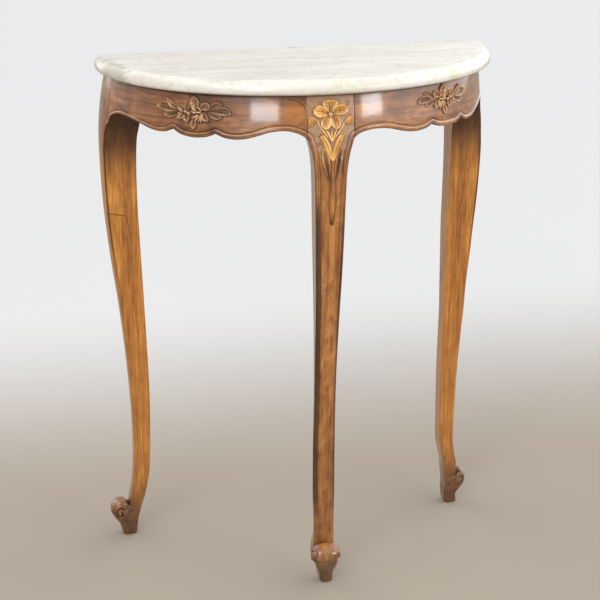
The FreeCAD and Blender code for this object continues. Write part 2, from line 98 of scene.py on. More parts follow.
def onFrame(arc, z, lift):
    # A point of the frame's outer surface at an arc length and a height, lifted along the normal.
    bearing, out = bearingAt(arc), swell(z)
    slope = swell(z + 0.5) - swell(z - 0.5)
    nx, ny = np.cos(bearing) / ovalX, -np.sin(bearing) / ovalY
    size = np.hypot(nx, ny)
    tilt = np.sqrt(1 + slope ** 2)
    return np.stack([(ovalX + out) * np.cos(bearing) + lift * nx / size / tilt,
                     ovalCentreY - (ovalY + out) * np.sin(bearing) + lift * ny / size / tilt,
                     z - lift * slope / tilt], axis=-1)


def smoothLine(knots, perSpan=12):
    # Catmull-Rom: each span is a cubic that passes its knots along the line between their neighbours.
    p = np.asarray(knots, float)
    p = np.vstack([2 * p[0] - p[1], p, 2 * p[-1] - p[-2]])
    p0, p1, p2, p3 = p[:-3, None], p[1:-2, None], p[2:-1, None], p[3:, None]
    t = np.linspace(0, 1, perSpan, endpoint=False)[None, :, None]
    spans = (2 * p1 + (p2 - p0) * t + (2 * p0 - 5 * p1 + 4 * p2 - p3) * t ** 2
             + (3 * p1 - p0 - 3 * p2 + p3) * t ** 3) / 2
    return np.vstack([spans.reshape(-1, p.shape[1]), p[-2]])


def alongHeight(knots):
    # A smooth function of height through (height, value) knots: cubic spans whose slope at a knot is
    # the harmonic mean of the slopes beside it, or level where the line turns, so it never overshoots.
    heights, values = np.array(knots, float).T
    steps = np.diff(values) / np.diff(heights)
    both = steps[:-1] * steps[1:]
    total = np.where(both > 0, steps[:-1] + steps[1:], 1)
    slopes = np.concatenate([steps[:1], np.where(both > 0, 2 * both / total, 0), steps[-1:]])

    def value(z):
        first = np.clip(np.searchsorted(heights, z, side="right") - 1, 0, len(steps) - 1)
        span = heights[first + 1] - heights[first]
        t = np.clip((z - heights[first]) / span, 0, 1)
        return (values[first] * (1 - t) ** 2 * (1 + 2 * t) + values[first + 1] * t ** 2 * (3 - 2 * t)
                + span * t * (1 - t) * (slopes[first] * (1 - t) - slopes[first + 1] * t))

    return value


def smoothStep(low, high, x):
    t = np.clip((x - low) / (high - low), 0, 1)
    return t * t * (3 - 2 * t)


class Value:
    # A number socket that can stand in an expression: each operator adds its Math node.
    def __init__(self, paint, socket):
        self.paint, self.socket = paint, socket

    def maths(self, operation, first, second=0.0):
        return self.paint.node("ShaderNodeMath", {"operation": operation}, {0: first, 1: second})

    def __add__(self, other):
        return self.maths("ADD", self, other)

    def __sub__(self, other):
        return self.maths("SUBTRACT", self, other)

    def __rsub__(self, other):
        return self.maths("SUBTRACT", other, self)

    def __mul__(self, other):
        return self.maths("MULTIPLY", self, other)

    def __pow__(self, power):
        return self.maths("POWER", self, power)

    def within(self, low, high):
        # 0 below low, 1 above high, smooth between; high may be the smaller one
        return self.paint.node("ShaderNodeMapRange", {"interpolation_type": "SMOOTHSTEP"},
                               {0: self, 1: low, 2: high, 3: 0.0, 4: 1.0})

    __radd__ = __add__
    __rmul__ = __mul__


class Paint:
    # The node tree of one procedural material, or of the world.
    def __init__(self, name, owner=None):
        self.owner = owner or bpy.data.materials.new(name)
        self.owner.use_nodes = True
        self.tree = self.owner.node_tree
        self.shader = self.tree.nodes["Background" if owner else "Principled BSDF"]

    def fill(self, made, inputs):
        # each input takes a link or a plain value
        for key, given in inputs.items():
            if isinstance(given, Value):
                self.tree.links.new(given.socket, made.inputs[key])
            else:
                made.inputs[key].default_value = given

    def node(self, kind, settings, inputs, output=0):
        made = self.tree.nodes.new(kind)
        for key, setting in settings.items():
            setattr(made, key, setting)
        self.fill(made, inputs)
        return Value(self, made.outputs[output])

    def place(self):
        return self.node("ShaderNodeTexCoord", {}, {}, "Object")

    def attribute(self, name, output):
        return self.node("ShaderNodeAttribute", {"attribute_name": name}, {}, output)

    def vector(self, operation, first, second=(0, 0, 0), output=0):
        return self.node("ShaderNodeVectorMath", {"operation": operation}, {0: first, 1: second}, output)

    def axis(self, place, letter):
        return self.node("ShaderNodeSeparateXYZ", {}, {0: place}, letter)

    def noise(self, place, scale, detail=3.0, roughness=0.5, distortion=0.0):
        # scale is one number, or a factor for each axis
        if isinstance(scale, tuple):
            place, scale = self.vector("MULTIPLY", place, scale), 1.0
        return self.node("ShaderNodeTexNoise", {}, {
            "Vector": place, "Scale": scale, "Detail": detail, "Roughness": roughness,
            "Distortion": distortion})

    def mix(self, factor, first, second):
        return self.node("ShaderNodeMix", {"data_type": "RGBA"}, {0: factor, 6: first, 7: second}, 2)

    def layered(self, color, layers):
        # lays each (factor, colour) over what is there
        for factor, over in layers:
            color = self.mix(factor, color, over)
        return color

    def bump(self, height, strength, distance):
        return self.node("ShaderNodeBump", {}, {
            "Strength": strength, "Distance": distance, "Height": height})

    def finish(self, sockets):
        # fills the shader's own sockets
        self.fill(self.shader, sockets)
        return self.owner


woodLooks = {
    # linear colours that run through the streaks: the legs', the stained aprons', the golden flower's
    "leg": [(0.230, 0.070, 0.008, 1), (0.440, 0.158, 0.018, 1), (0.640, 0.290, 0.050, 1)],
    "apron": [(0.120, 0.040, 0.011, 1), (0.240, 0.087, 0.022, 1), (0.390, 0.162, 0.047, 1)],
    "golden": [(0.360, 0.125, 0.012, 1), (0.600, 0.270, 0.040, 1), (0.780, 0.430, 0.110, 1)],
    "groove": (0.034, 0.011, 0.004, 1),      # polish and dust gathered in the hollows, and the colour of painted shade
    "rubbedAndLit": (0.600, 0.370, 0.235, 1),      # worn high edges, and the colour of painted highlights
    "gilt": (0.860, 0.560, 0.210, 1),        # the same on the golden flower
    "ground": (0.410, 0.245, 0.145, 1),      # stippled ground behind the carving
    "moss": (0.200, 0.150, 0.060, 1),        # greenish polish in the same ground
    "foot": (0.085, 0.034, 0.014, 1),        # scuffed and stained near the floor
    "roughness": 0.28, "coatRoughness": 0.1,
    # stretch along, across and into the wood, then detail, roughness and distortion of each noise
    "drift": ((3.6, 42, 42), 3.0, 0.55, 0.9), "streak": ((8, 210, 210), 4.0, 0.62, 0.5),
    "fibre": ((30, 760, 760), 3.0, 0.65), "pores": ((110, 2100, 2100), 1.0, 0.4),
    "cloud": ((22, 38, 38), 4.0, 0.62, 1.2),
    # the same for noises that lie in the frame's axes
    "grime": (900.0, 3.0, 0.7), "mottle": (85.0, 3.0, 0.6), "patches": (160.0, 3.0, 0.6),
    # a short saw cut across the left leg: x, z, slope, half thickness, and between which x
    "cut": (-0.264, 0.544, -0.2, 0.0006, -0.2945, -0.2635),
    # a curved scratch on the left apron: middle x, z, radius, half thickness, and between which x
    "scratch": (-0.0565, 0.7290, 0.0236, 0.0007, -0.060, -0.034),
    # a paler, redder patch beside it: middle x, z and half size
    "patch": (-0.0500, 0.7350, 0.0190, 0.0170),
}


def polishedWood():
    # Walnut under a clear polish. The grain attribute runs along, across and into the wood, so that
    # drifts, streaks and pores are all drawn out along it. Painted attributes: apron and golden choose
    # the stain, tone gives dust and painted shade in hollows, wear and painted highlights on edges, and
    # ground stipples.
    look = woodLooks
    paint = Paint("polished_walnut")
    grain = paint.attribute("grain", "Vector")
    tone, ground = paint.attribute("tone", "Fac"), paint.attribute("ground", "Fac")
    apron, golden = paint.attribute("apron", "Fac"), paint.attribute("golden", "Fac")
    stains = [paint.mix(golden, paint.mix(apron, leg, stained), gilt)
              for leg, stained, gilt in zip(look["leg"], look["apron"], look["golden"])]
    drift, streak, fibre, pores, cloud = (
        paint.noise(grain, *look[name]) for name in ("drift", "streak", "fibre", "pores", "cloud"))
    pores = pores.within(0.60, 0.72)
    grime, mottle, patches = (
        paint.noise(paint.place(), *look[name]) for name in ("grime", "mottle", "patches"))
    shade = ((drift - 0.5) * 0.75 + (streak - 0.5) * 0.85 + (fibre - 0.5) * 0.5
             + (cloud - 0.5) * (apron * 1.0 + 0.25))
    # tone below zero darkens: dust in hollows and joints, and painted shade
    darkening = (tone * -1.0).within(0.0, 1.0)
    color = paint.layered(stains[0], [
        (shade.within(-0.24, 0.03), stains[1]),
        (shade.within(-0.01, 0.27), stains[2]),
        (pores * 0.4, stains[0]),
        ((ground * (grime * 0.7 + patches.within(0.36, 0.6) * 0.35 + 0.1)).within(0.0, 0.8), look["ground"]),
        (ground * mottle.within(0.48, 0.62) * 0.55, look["moss"]),
        (ground * mottle.within(0.46, 0.34) * 0.45, look["groove"]),
        # wear and painted highlights where tone is above zero
        ((tone * (0.3 + streak * 0.8)).within(0.0, 0.9), paint.mix(golden, look["rubbedAndLit"], look["gilt"])),
        # dust and painted shade where tone is below zero
        (darkening * 0.9, look["groove"])])
    x, y, z = (paint.axis(paint.place(), letter) for letter in "XYZ")

    def drawn(offset, half):
        # 1 on a line of the given half thickness
        return (offset ** 2.0).within(half ** 2 * 2.5, half ** 2 * 0.4)

    cutX, cutZ, slope, half, first, last = look["cut"]
    cut = drawn(z - cutZ - (x - cutX) * slope, half)
    cut = cut * x.within(first, first + 0.001) * x.within(last, last - 0.002)
    patchX, patchZ, wide, high = look["patch"]
    spread = ((x - patchX) * (1 / wide)) ** 2.0 + ((z - patchZ) * (1 / high)) ** 2.0 + (cloud - 0.5) * 1.6
    middleX, middleZ, radius, half, first, last = look["scratch"]
    scratch = drawn(((x - middleX) ** 2.0 + (z - middleZ) ** 2.0) ** 0.5 - radius, half)
    scratch = scratch * z.within(middleZ, middleZ + 0.012)
    scratch = scratch * x.within(first, first + 0.002) * x.within(last, last - 0.002)
    onFront = y.within(-0.05, -0.09)
    low = z + (cloud - 0.5) * 0.05 + (grime - 0.5) * 0.03
    color = paint.layered(color, [
        (cut * y.within(0.1, 0.095) * 0.85, look["groove"]),
        (spread.within(1.2, 0.3) * onFront * apron * 0.5, look["leg"][1]),
        (scratch * onFront * 0.8, look["groove"]),
        (low.within(0.42, 0.05) * 0.22, look["foot"]),
        (low.within(0.085, 0.005) * 0.8, look["foot"]),
        (low.within(0.120, 0.045) * (0.55 - apron), look["foot"]),
        (low.within(0.110, 0.030) * mottle.within(0.50, 0.64) * 0.5, look["groove"])])
    height = fibre * 0.35 - pores * 0.5 + grime * (ground * 1.6 + apron * 0.7)
    return paint.finish({
        "Base Color": color, "Roughness": darkening * 0.25 + drift * 0.16 + look["roughness"],
        "Normal": paint.bump(height, 0.25, 0.0002), "IOR": 1.4,
        "Coat Weight": 1.0 - darkening * 0.8, "Coat Roughness": look["coatRoughness"], "Coat IOR": 1.5})


marbleLook = {
    "cream": (0.660, 0.622, 0.548, 1), "white": (0.715, 0.700, 0.652, 1),
    "grey": (0.500, 0.455, 0.380, 1), "pink": (0.730, 0.610, 0.520, 1),
    "green": (0.560, 0.600, 0.330, 1), "dark": (0.140, 0.180, 0.120, 1),
    "olive": (0.330, 0.300, 0.190, 1),
    # cloudy green and olive places: middle x, y and half size x, y in metres
    "greenPlaces": [(-0.157, -0.155, 0.075, 0.030), (0.012, -0.142, 0.070, 0.030),
                    (0.106, -0.133, 0.050, 0.028), (0.198, -0.074, 0.034, 0.030),
                    (-0.060, -0.190, 0.060, 0.018), (0.060, -0.170, 0.060, 0.016)],
    "olivePlaces": [(-0.283, 0.026, 0.026, 0.070), (-0.248, -0.082, 0.030, 0.020),
                    (-0.221, -0.121, 0.040, 0.016)],
    "spots": [(-0.213, -0.143, 0.0052, 0.0052), (-0.059, -0.186, 0.0050, 0.0060)],
}


def marbleCover(paint, place, areas):
    # 1 inside any of the given ovals, fading to 0 at their rims: the largest of 1 - distance squared
    cover = 0.0
    for x, y, halfX, halfY in areas:
        near = paint.vector("MULTIPLY", paint.vector("ADD", place, (-x, -y, 0)), (1 / halfX, 1 / halfY, 0))
        length = paint.vector("LENGTH", near, output="Value")
        inside = 1.0 - length * length
        cover = inside if isinstance(cover, float) else inside.maths("MAXIMUM", inside, cover)
    return cover


def marbleStone():
    # Cream marble: long soft streaks near the wall's direction, bent by a slow noise, with cloudy
    # green places near the front edge and a few dark specks.
    look = marbleLook
    paint = Paint("polished_marble")
    place = paint.place()
    bend = paint.noise(place, (5, 9, 9), 2.0, 0.5) - 0.5
    bent = paint.node("ShaderNodeCombineXYZ", {}, {
        0: paint.axis(place, "X") * 4.6, 1: paint.axis(place, "Y") * 46.0 + bend * 2.6,
        2: paint.axis(place, "Z") * 46.0})
    long = paint.noise(bent, 1.0, 5.0, 0.62, 0.5)
    fine = paint.noise(bent, (2.4, 3.2, 3.2), 4.0, 0.65, 0.6)
    cloud = paint.noise(place, (9, 22, 22), 4.0, 0.6, 0.4)
    blotch = paint.noise(place, (55, 90, 90), 4.0, 0.65, 0.8)
    speck = paint.noise(place, (420, 420, 420), 2.0, 0.6).within(0.62, 0.74)
    green, olive, spots = (marbleCover(paint, place, look[name])
                           for name in ("greenPlaces", "olivePlaces", "spots"))
    color = paint.layered(look["cream"], [
        (cloud.within(0.35, 0.65), look["white"]),
        (long.within(0.52, 0.72) * 0.45, look["grey"]),
        (long.within(0.46, 0.30) * cloud.within(0.45, 0.65) * 0.6, look["pink"]),
        (fine.within(0.52, 0.68) * long.within(0.35, 0.6) * 0.6, look["grey"]),
        (blotch.within(0.48, 0.70) * fine.within(0.34, 0.56) * 0.75, look["grey"]),
        ((green + blotch * 1.5 - 0.95).within(0.25, 0.9) * 0.6, look["green"]),
        ((olive + blotch * 1.8 - 0.85).within(0.2, 0.8) * 0.55, look["olive"]),
        (speck * (olive.within(-0.5, 0.5) * 0.6 + green.within(0, 1) * 0.3 + 0.05), look["dark"]),
        ((spots + blotch * 1.2 - 0.6).within(0.0, 0.6) * 0.6, look["dark"])])
    return paint.finish({
        "Base Color": color, "Roughness": fine * 0.1 + 0.2, "IOR": 1.5,
        "Normal": paint.bump(blotch, 0.04, 0.0005), "Coat Weight": 0.25, "Coat Roughness": 0.08})


beechLooks = {
    # which way the grain of each unpolished node runs, and its colours
    "back_rail": {"along": "X", "pale": (0.560, 0.370, 0.205, 1), "deep": (0.400, 0.235, 0.115, 1)},
    "centre_bearer": {"along": "Y", "pale": (0.590, 0.400, 0.230, 1), "deep": (0.430, 0.260, 0.135, 1)},
    "block": {"along": "Z", "pale": (0.540, 0.350, 0.190, 1), "deep": (0.370, 0.215, 0.105, 1)},
    "dowel": {"along": "X", "pale": (0.620, 0.450, 0.280, 1), "deep": (0.480, 0.320, 0.180, 1)},
}


def bareBeech(name):
    # Unpolished beech: pale tan with short dark flecks along the grain and faint saw marks across it.
    look = beechLooks[name]
    paint = Paint("bare_beech_" + name)
    place = paint.place()

    def noise(along, across, *kind):
        factors = tuple(along if axis == look["along"] else across for axis in "XYZ")
        return paint.noise(place, factors, *kind)

    bands, fibre = noise(6, 60, 4.0, 0.6, 0.4), noise(26, 700, 4.0, 0.65)
    flecks, marks = noise(300, 1500, 1.0, 0.4).within(0.62, 0.70), noise(420, 8, 2.0, 0.5)
    color = paint.mix((bands * 0.7 + fibre * 0.5).within(0.35, 0.85), look["deep"], look["pale"])
    color = paint.mix(flecks * 0.4, color, look["deep"])
    return paint.finish({
        "Base Color": color, "Roughness": fibre * 0.2 + 0.58,
        "Normal": paint.bump(fibre * 0.5 + marks * 0.5 - flecks * 0.3, 0.35, 0.0003)})


def screwSteel():
    # Zinc-bright steel with fine turned scratches and a little dull bloom.
    paint = Paint("screw_steel")
    place = paint.place()
    bloom = paint.noise(place, 260.0, 3.0, 0.6)
    scratch = paint.noise(place, (1800, 1800, 5200), 2.0, 0.5)
    color = paint.mix(bloom.within(0.4, 0.75), (0.62, 0.61, 0.58, 1), (0.36, 0.34, 0.30, 1))
    return paint.finish({
        "Base Color": color, "Metallic": 1.0, "Roughness": bloom * 0.3 + 0.22,
        "Normal": paint.bump(scratch, 0.15, 0.00005)})


finishes = {"polished_walnut": polishedWood(), "marble": marbleStone()}
print("finishes mixed")

legShape = {
    "frontHalf": [(0, 7.4), (1.2, 8.8), (3.5, 9.8), (9, 10.5), (17, 11.2), (25, 14.6), (36, 17), (50, 16.2),
                  (70, 15.6), (100, 15.8), (150, 16.8), (220, 16.6), (300, 16.1), (400, 17), (540, 20.3),
                  (640, 22.6), (664, 24.6), (674, 26.2), (683, 28.3), (691, 30.8), (698, 33)],
    "rearFrontEdge": [(68, 26), (150, 26), (220, 26), (320, 28), (430, 31.5), (540, 38),
                      (620, 41.5), (648, 43), (660, 45.5), (672, 49), (683, 54), (691, 59)],
    "rearBackEdge": [(0, 5.6), (1.2, 4.3), (3.5, 3.3), (9, 2.8), (17, 2.6), (31, 0), (55, 0), (75, 0),
                     (150, 0), (759, 0)],
    "inside": [(0, -18.6), (1.2, -20.2), (3.5, -21.6), (9, -22.8), (33, -27), (56, -33), (70, -36),
               (130, -42), (250, -45), (415, -42), (600, -39), (660, -40.6), (697.5, -45), (759, -45)],
    "rearFootMiddle": 13, "footTop": 68,
    # the front leg is narrower at its back by this much each side, between two easings in height
    "backTaper": 5, "taperRise": (40, 90), "taperEnd": (720, 690),
    # painted shade under the frame on the rear legs' sides, and how it eases in with height
    "shade": 0.85, "shadeRise": (560, 690),
    # painted shade along the front leg's two rounded edges: depth, and where it ends and begins across
    "shadedEdges": [(0.85, 9.5, 5), (0.7, 6, 2.5)], "darkEnd": (660, 560), "darkRise": (90, 150),
    # the aprons' stain on each leg: the least of it, and what it gains between two heights
    "stain": {"front_leg": (0.68, 0.2), "left_leg": (0, 1), "right_leg": (0, 1)}, "stainRise": (600, 712),
    "edgeRound": [(0, 2.5), (60, 3), (110, 5.5), (330, 6), (450, 4.5), (560, 1.6), (759, 1.6)],
    "crown": [(0, 0), (380, 0.4), (480, 2.2), (570, 2.6), (660, 2.4), (720, 1.2), (759, 0)],
}
# How far each leg strays from the common pattern, as hand-sawn legs do: (height, millimetres).
legDrift = {
    "front_leg": {
        "across": [(0, -0.5), (20, -1.8), (45, -3), (75, -1.6), (120, -1.2), (200, -1.2), (300, -0.8),
                   (560, -0.9), (640, -0.5), (690, 0), (759, 0)],
        "upward": [(0, 0), (30, 1.5), (48, 2.5), (75, 2), (110, 0), (759, 0)]},
    "left_leg": {
        "upward": [(0, 0), (30, -1), (48, -2.2), (75, -2), (110, 0), (759, 0)],
        "outward": [(0, 4.2), (48, 6.2), (75, 3.5), (95, 1), (120, -0.6), (200, -1.2), (300, -0.8),
                    (390, -0.3), (500, 1.2), (570, 2.1), (640, 2), (690, 1.8), (730, 1), (759, 0)]},
    "right_leg": {
        "nose": 0.62,         # its scroll is sawn this much shallower
        "across": [(0, 7), (30, 6), (60, 3), (100, 0), (759, 0)],
        "knee": [(0, 0), (500, 0), (580, -0.2), (616, -0.6), (647, -2.4), (667, -4.8), (694, -8),
                 (725, -6.5), (759, -4)],
        "outward": [(0, -7), (20, -5.5), (40, 0), (60, 4), (78, 6), (95, 4), (118, 2), (140, 2.6),
                    (200, 3.8), (300, 4.2), (340, 4), (390, 2), (440, 0.5), (500, -1.5), (580, -1.7),
                    (640, -1.5), (690, 0), (759, 0)],
        "upward": [(0, 0), (30, -4), (48, -7), (75, -5.5), (110, -2), (140, 0), (759, 0)]},
}


def drifted(leg, key, z):
    # A leg's drift of one kind at a height, and nothing where it has none.
    knots = legDrift[leg].get(key)
    return alongHeight(knots)(z) if knots else np.zeros_like(z)


frontHalf, insideLine, rearFrontEdge, rearBackEdge, edgeRound, crownLine = (
    alongHeight(legShape[line])
    for line in ("frontHalf", "inside", "rearFrontEdge", "rearBackEdge", "edgeRound", "crown"))

# The scalloped lower edge in (bearing in degrees, height above the lowest lobe), front to wall.
scallops = {
    "frontArch": [(83.4, 0.5), (82.7, 3.9), (81.7, 7.2), (80.0, 10.6), (77.2, 13.2), (73.4, 11.4),
                  (70.4, 7), (67.7, 3), (65, 0.8), (62.6, 0.6), (60.2, 2.5), (57.8, 7)],
    "middleLobe": [(57.8, 7), (56.2, 3.6), (54.4, 1.3), (51.2, 0), (47.8, 1.8), (46, 4.9), (44.2, 9.6)],
    "rearArch": [(44.2, 9.6), (42.5, 5.4), (40.6, 3.4), (38.5, 3.2), (36, 4.6), (32, 9), (27.5, 13),
                 (22.5, 15.2), (19, 13.8), (16.3, 10), (14.4, 4.6), (12.75, -6.5)],
}
# how far the hand-cut edge of each half hangs below them: (bearing in degrees, millimetres)
scallopSag = {
    "left": [(0, 0), (90, 0)],
    "right": [(0, 0), (14, 0), (22, 2.6), (30, 3.6), (38.5, 4.6), (44.4, 4.6), (50, 1.2), (58, 1.2),
              (66, 1), (72, 2.2), (77, 3), (82, 1), (84, 0), (90, 0)]}
edgeSteps = 200         # points along each leg's part of the lower edge


def lowerEdge(side):
    # The whole lower edge of one half in (arc length, height): up the front leg's edge,
    # along the scallops, and down the rear leg's front edge.
    sag = alongHeight(scallopSag[side])
    legZ = np.linspace(0, legShape["frontHalf"][-1][0], edgeSteps)
    parts = [np.stack([frontHalf(legZ), legZ], axis=1)]
    for knots in scallops.values():
        degrees, rise = np.array(knots).T
        parts.append(smoothLine(np.stack([arcAt(np.radians(degrees)),
                                          frameShape["lobeHeight"] + rise - sag(degrees)], axis=1)))
    legZ = np.linspace(legShape["rearFrontEdge"][-1][0], 0, edgeSteps)
    sine = (ovalCentreY - legBackY + rearFrontEdge(legZ)) / (ovalY + swell(legZ))
    parts.append(np.stack([arcAt(np.arcsin(sine)), legZ], axis=1))
    return np.vstack(parts)


edgeLines = {side: lowerEdge(side) for side in scallopSag}


def edgeDistance(arc, z, side="left"):
    # Shortest distance in the unrolled surface from each point to the lower edge of its half.
    edgeLine = edgeLines[side]
    start, end = edgeLine[:-1], edgeLine[1:]
    run = end - start
    runSquared = np.maximum((run ** 2).sum(1), 1e-9)
    points = np.stack([np.abs(arc), z], axis=-1).reshape(-1, 2)
    nearest = np.full(len(points), 1e9)
    for first in range(0, len(start), 40):
        part = slice(first, first + 40)
        offset = points[:, None, :] - start[None, part]
        share = np.clip((offset * run[part]).sum(2) / runSquared[part], 0, 1)
        gap = offset - share[:, :, None] * run[part]
        nearest = np.minimum(nearest, np.sqrt((gap ** 2).sum(2)).min(1))
    return nearest.reshape(np.shape(arc))


bandShape = {
    "width": 7.0, "rise": 1.3, "grooveDepth": 1.0, "grooveWidth": 0.75, "edgeRound": 1.2,
    "narrowing": 0.38, "narrowFrom": 190, "narrowTo": 290,      # arc lengths, towards the wall
    "fadeFrom": 560, "fadeTo": 330,      # heights between which the band dies out on the legs
    # painted highlight lines along the bead: place across, half width and strength
    "lines": [(0.28, 0.12, 0.5), (0.84, 0.13, 1.0)],
    # tones of the painted highlight lines, the bead, the painted shade in the groove and the painted shadow
    # at the rim
    "lineHighlight": 0.8, "beadTone": -0.2, "grooveShade": -0.65, "rimTone": -0.9, "rimWidth": 0.8,
}
# the open joints: depth and width, dust tone and width in them, and the same for the painted shadow under the
# slab
jointShape = {"depth": 0.5, "width": 0.8, "darkening": (0.9, 0.6), "slabShadow": (1.5, 3.2)}


def hump(gap, width):
    return np.exp(-(gap / width) ** 2)


def arris(gap, radius):
    # how far a quarter round of this radius lies below the flat at a distance from the edge
    return radius - np.sqrt(np.clip(radius ** 2 - np.clip(radius - gap, 0, radius) ** 2, 0, None))


def bandRelief(distance, z, arc=0):
    # Lift of the moulded band by the distance from the edge: a rounded bead, then a groove, and a
    # rounded arris. It also gives the tone: painted highlight lines on the bead, painted shade in the groove
    # and at the rim.
    b = bandShape
    fade = smoothStep(b["fadeTo"], b["fadeFrom"], z)
    width = b["width"] * (0.55 + 0.45 * fade)
    width = width * (1 - b["narrowing"] * smoothStep(b["narrowFrom"], b["narrowTo"], np.abs(arc)))
    across = np.clip(distance / width, 0, 1)
    bead = np.sqrt(np.clip(1 - (2 * across - 1) ** 2, 0, 1)) * (across < 1)
    groove = hump(distance - width - b["grooveWidth"], b["grooveWidth"])
    lift = fade * (b["rise"] * bead - b["grooveDepth"] * groove - arris(distance, b["edgeRound"]))
    lines = sum(strength * hump(across - place, half) for place, half, strength in b["lines"])
    lines = lines * (0.4 + 0.6 * smoothStep(650, 698, z))
    return lift, fade * (b["lineHighlight"] * lines + b["beadTone"] * bead + b["grooveShade"] * groove
                         + b["rimTone"] * hump(distance, b["rimWidth"]))


def jointCut(seam):
    return -jointShape["depth"] * np.clip(1 - seam / jointShape["width"], 0, 1) ** 2


def jointDustAndSlabShadow(seam, z):
    # dust in the joints beside the front leg, and painted shadow in the corner under the slab
    return -sum(depth * hump(gap, width) for gap, (depth, width) in
                ((seam, jointShape["darkening"]), (frameTop - z, jointShape["slabShadow"])))


def leaned(points):
    # The frame's ends follow their rear legs' drift, from nothing at the front to all of it at the wall.
    points = points.copy()
    for side, sign in (("left", -1), ("right", 1)):
        shift = sum(drifted(side + "_leg", key, points[..., 2]) for key in ("outward", "knee"))
        shift = shift * smoothStep(-70, 60, points[..., 1]) * (points[..., 0] * sign > 0)
        points[..., 0] += sign * shift
    return points


def makePiece(name, points, faces, slot, replaced=(), grain=None, tones=None):
    # A mesh from points in millimetres. Its grain attribute runs along, across and into the wood,
    # and tones holds the other painted attributes by name.
    mesh = bpy.data.meshes.new(name)
    mesh.from_pydata((np.asarray(points, float) * mm).tolist(), [], faces)
    mesh.validate()
    if grain is not None:
        layer = mesh.attributes.new("grain", "FLOAT_VECTOR", "POINT")
        layer.data.foreach_set("vector", (np.asarray(grain, np.float32) * mm).astype(np.float32).ravel())
    for key, values in (tones or {}).items():
        layer = mesh.attributes.new(key, "FLOAT", "POINT")
        layer.data.foreach_set("value", np.asarray(values, np.float32).ravel())
    mesh.materials.append(finishes[slot])
    mesh.shade_smooth()
    mesh.update()
    piece = bpy.data.objects.new(name, mesh)
    bpy.context.scene.collection.objects.link(piece)
    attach(piece, "root")
    if replaced:
        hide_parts(*replaced)
    print("made", name, len(mesh.polygons), "faces")
    return piece


def gridFaces(rows, columns, first=0, closed=False, flip=False):
    # Quads of a grid whose points are numbered row by row. closed joins the last column to the first.
    index = first + np.arange(rows * columns).reshape(rows, columns)
    right = np.roll(index, -1, axis=1) if closed else index[:, 1:]
    left = index if closed else index[:, :-1]
    quads = np.stack([left[:-1], right[:-1], right[1:], left[1:]], axis=-1).reshape(-1, 4)
    return (quads[:, ::-1] if flip else quads).tolist()


# Blades. rows and columns: the grid. start: where the outline starts on its wave. belly: how far the
# widest place lies towards the tip. blunt: how round the ends are. edge, crown, rise, notch: heights of
# the rim, the middle, the tip and the notch. creases: (across, depth), all creaseWidth wide. Then the
# tone painted on the rim and the crown (painted highlight above zero, painted shade below), how dark the
# painted shade at the root is, and teeth with their depth.
bladeKeys = ("rows", "columns", "start", "belly", "blunt", "edge", "crown", "rise", "notch", "creases",
             "creaseWidth", "rimTone", "crownTone", "rootShade", "teeth", "toothDepth")
bladeTable = {
    "petal": (26, 21, 0.10, 1.3, 0.55, 3.1, -1.9, 1.2, 0.5, [(-0.42, 0.4), (0.05, 0.6), (0.48, 0.4)],
              0.15, 0.95, 0.05, 0.6, 0, 0),
    "fan": (26, 25, 0.06, 2.1, 0.5, 3.0, -1.8, 1.0, 0.9, [(-0.55, 0.5), (-0.1, 0.7), (0.3, 0.6), (0.65, 0.4)],
            0.11, 0.9, -0.25, 0.8, 0, 0),
    "stem": (24, 9, 0.30, 1.0, 0.35, 0.7, 1.4, 0.0, 0, [], 0.1, -0.4, 1.1, 0.2, 0, 0),
    "bud": (22, 19, 0.12, 0.95, 0.55, 1.2, 2.6, 0.2, 0, [(-0.35, 0.7), (0.38, 0.7)],
            0.12, 0.1, 0.15, 0.3, 0, 0),
    "bar": (30, 19, 0.08, 1.9, 0.25, 1.4, 2.0, 1.0, 0, [(0.05, 1.2)], 0.15, 0.0, 0.35, 0.0, 0, 0),
    "dish": (30, 17, 0.05, 1.35, 0.7, 2.1, -1.5, 0.3, 0, [], 0.1, 1.0, -0.75, 0.5, 0, 0),
    "tongue": (60, 17, 0.25, 2.4, 0.5, 0.2, 1.0, 0.2, 0, [], 0.1, -0.9, 0.15, 0.0, 0, 0),
    "finger": (20, 9, 0.12, 0.9, 0.5, 1.5, 1.5, 1.0, 0, [], 0.1, -0.4, 0.85, 0.3, 0, 0),
    "curled": (26, 21, 0.08, 1.15, 0.75, 2.9, -2.1, 0.9, 0, [(-0.3, 0.35), (0.2, 0.5)],
               0.1, 0.8, -0.35, 0.6, 0, 0),
    "leaf": (34, 25, 0.05, 1.1, 0.8, 2.2, -1.8, 0.5, 0, [(0.0, -0.8), (-0.5, 0.3), (0.5, 0.3)],
             0.09, 0.7, -0.65, 0.3, 0, 0),
    "toothed": (46, 25, 0.05, 1.1, 0.75, 1.9, -1.2, 0.2, 0, [(0.0, -0.7), (-0.5, 0.3), (0.5, 0.3)],
                0.09, 0.6, -0.65, 0.3, 6, 0.24),
    "button": (18, 17, 0.02, 1.0, 0.5, 1.6, 2.4, 0.0, 0, [], 0.1, -1.3, 0.75, 0.0, 0, 0),
}
bladeKinds = {kind: dict(zip(bladeKeys, row)) for kind, row in bladeTable.items()}
bladeGilt = {"tongue": 0.0, "dish": 0.25, "button": 0.1}      # kinds that are less golden than the flower
# where the outline ends on its wave, how wide the notch is, how dark the painted shade in creases is and how
# far rims drop
bladeShape = {"end": 0.985, "notchWidth": 0.3, "creaseShade": 1.1, "rimDrop": 0.5}


def borderOf(number):
    # the numbers round a grid, counter-clockwise from its first corner
    return np.concatenate([number[0, :-1], number[:-1, -1], number[-1, :0:-1], number[:0:-1, 0]])


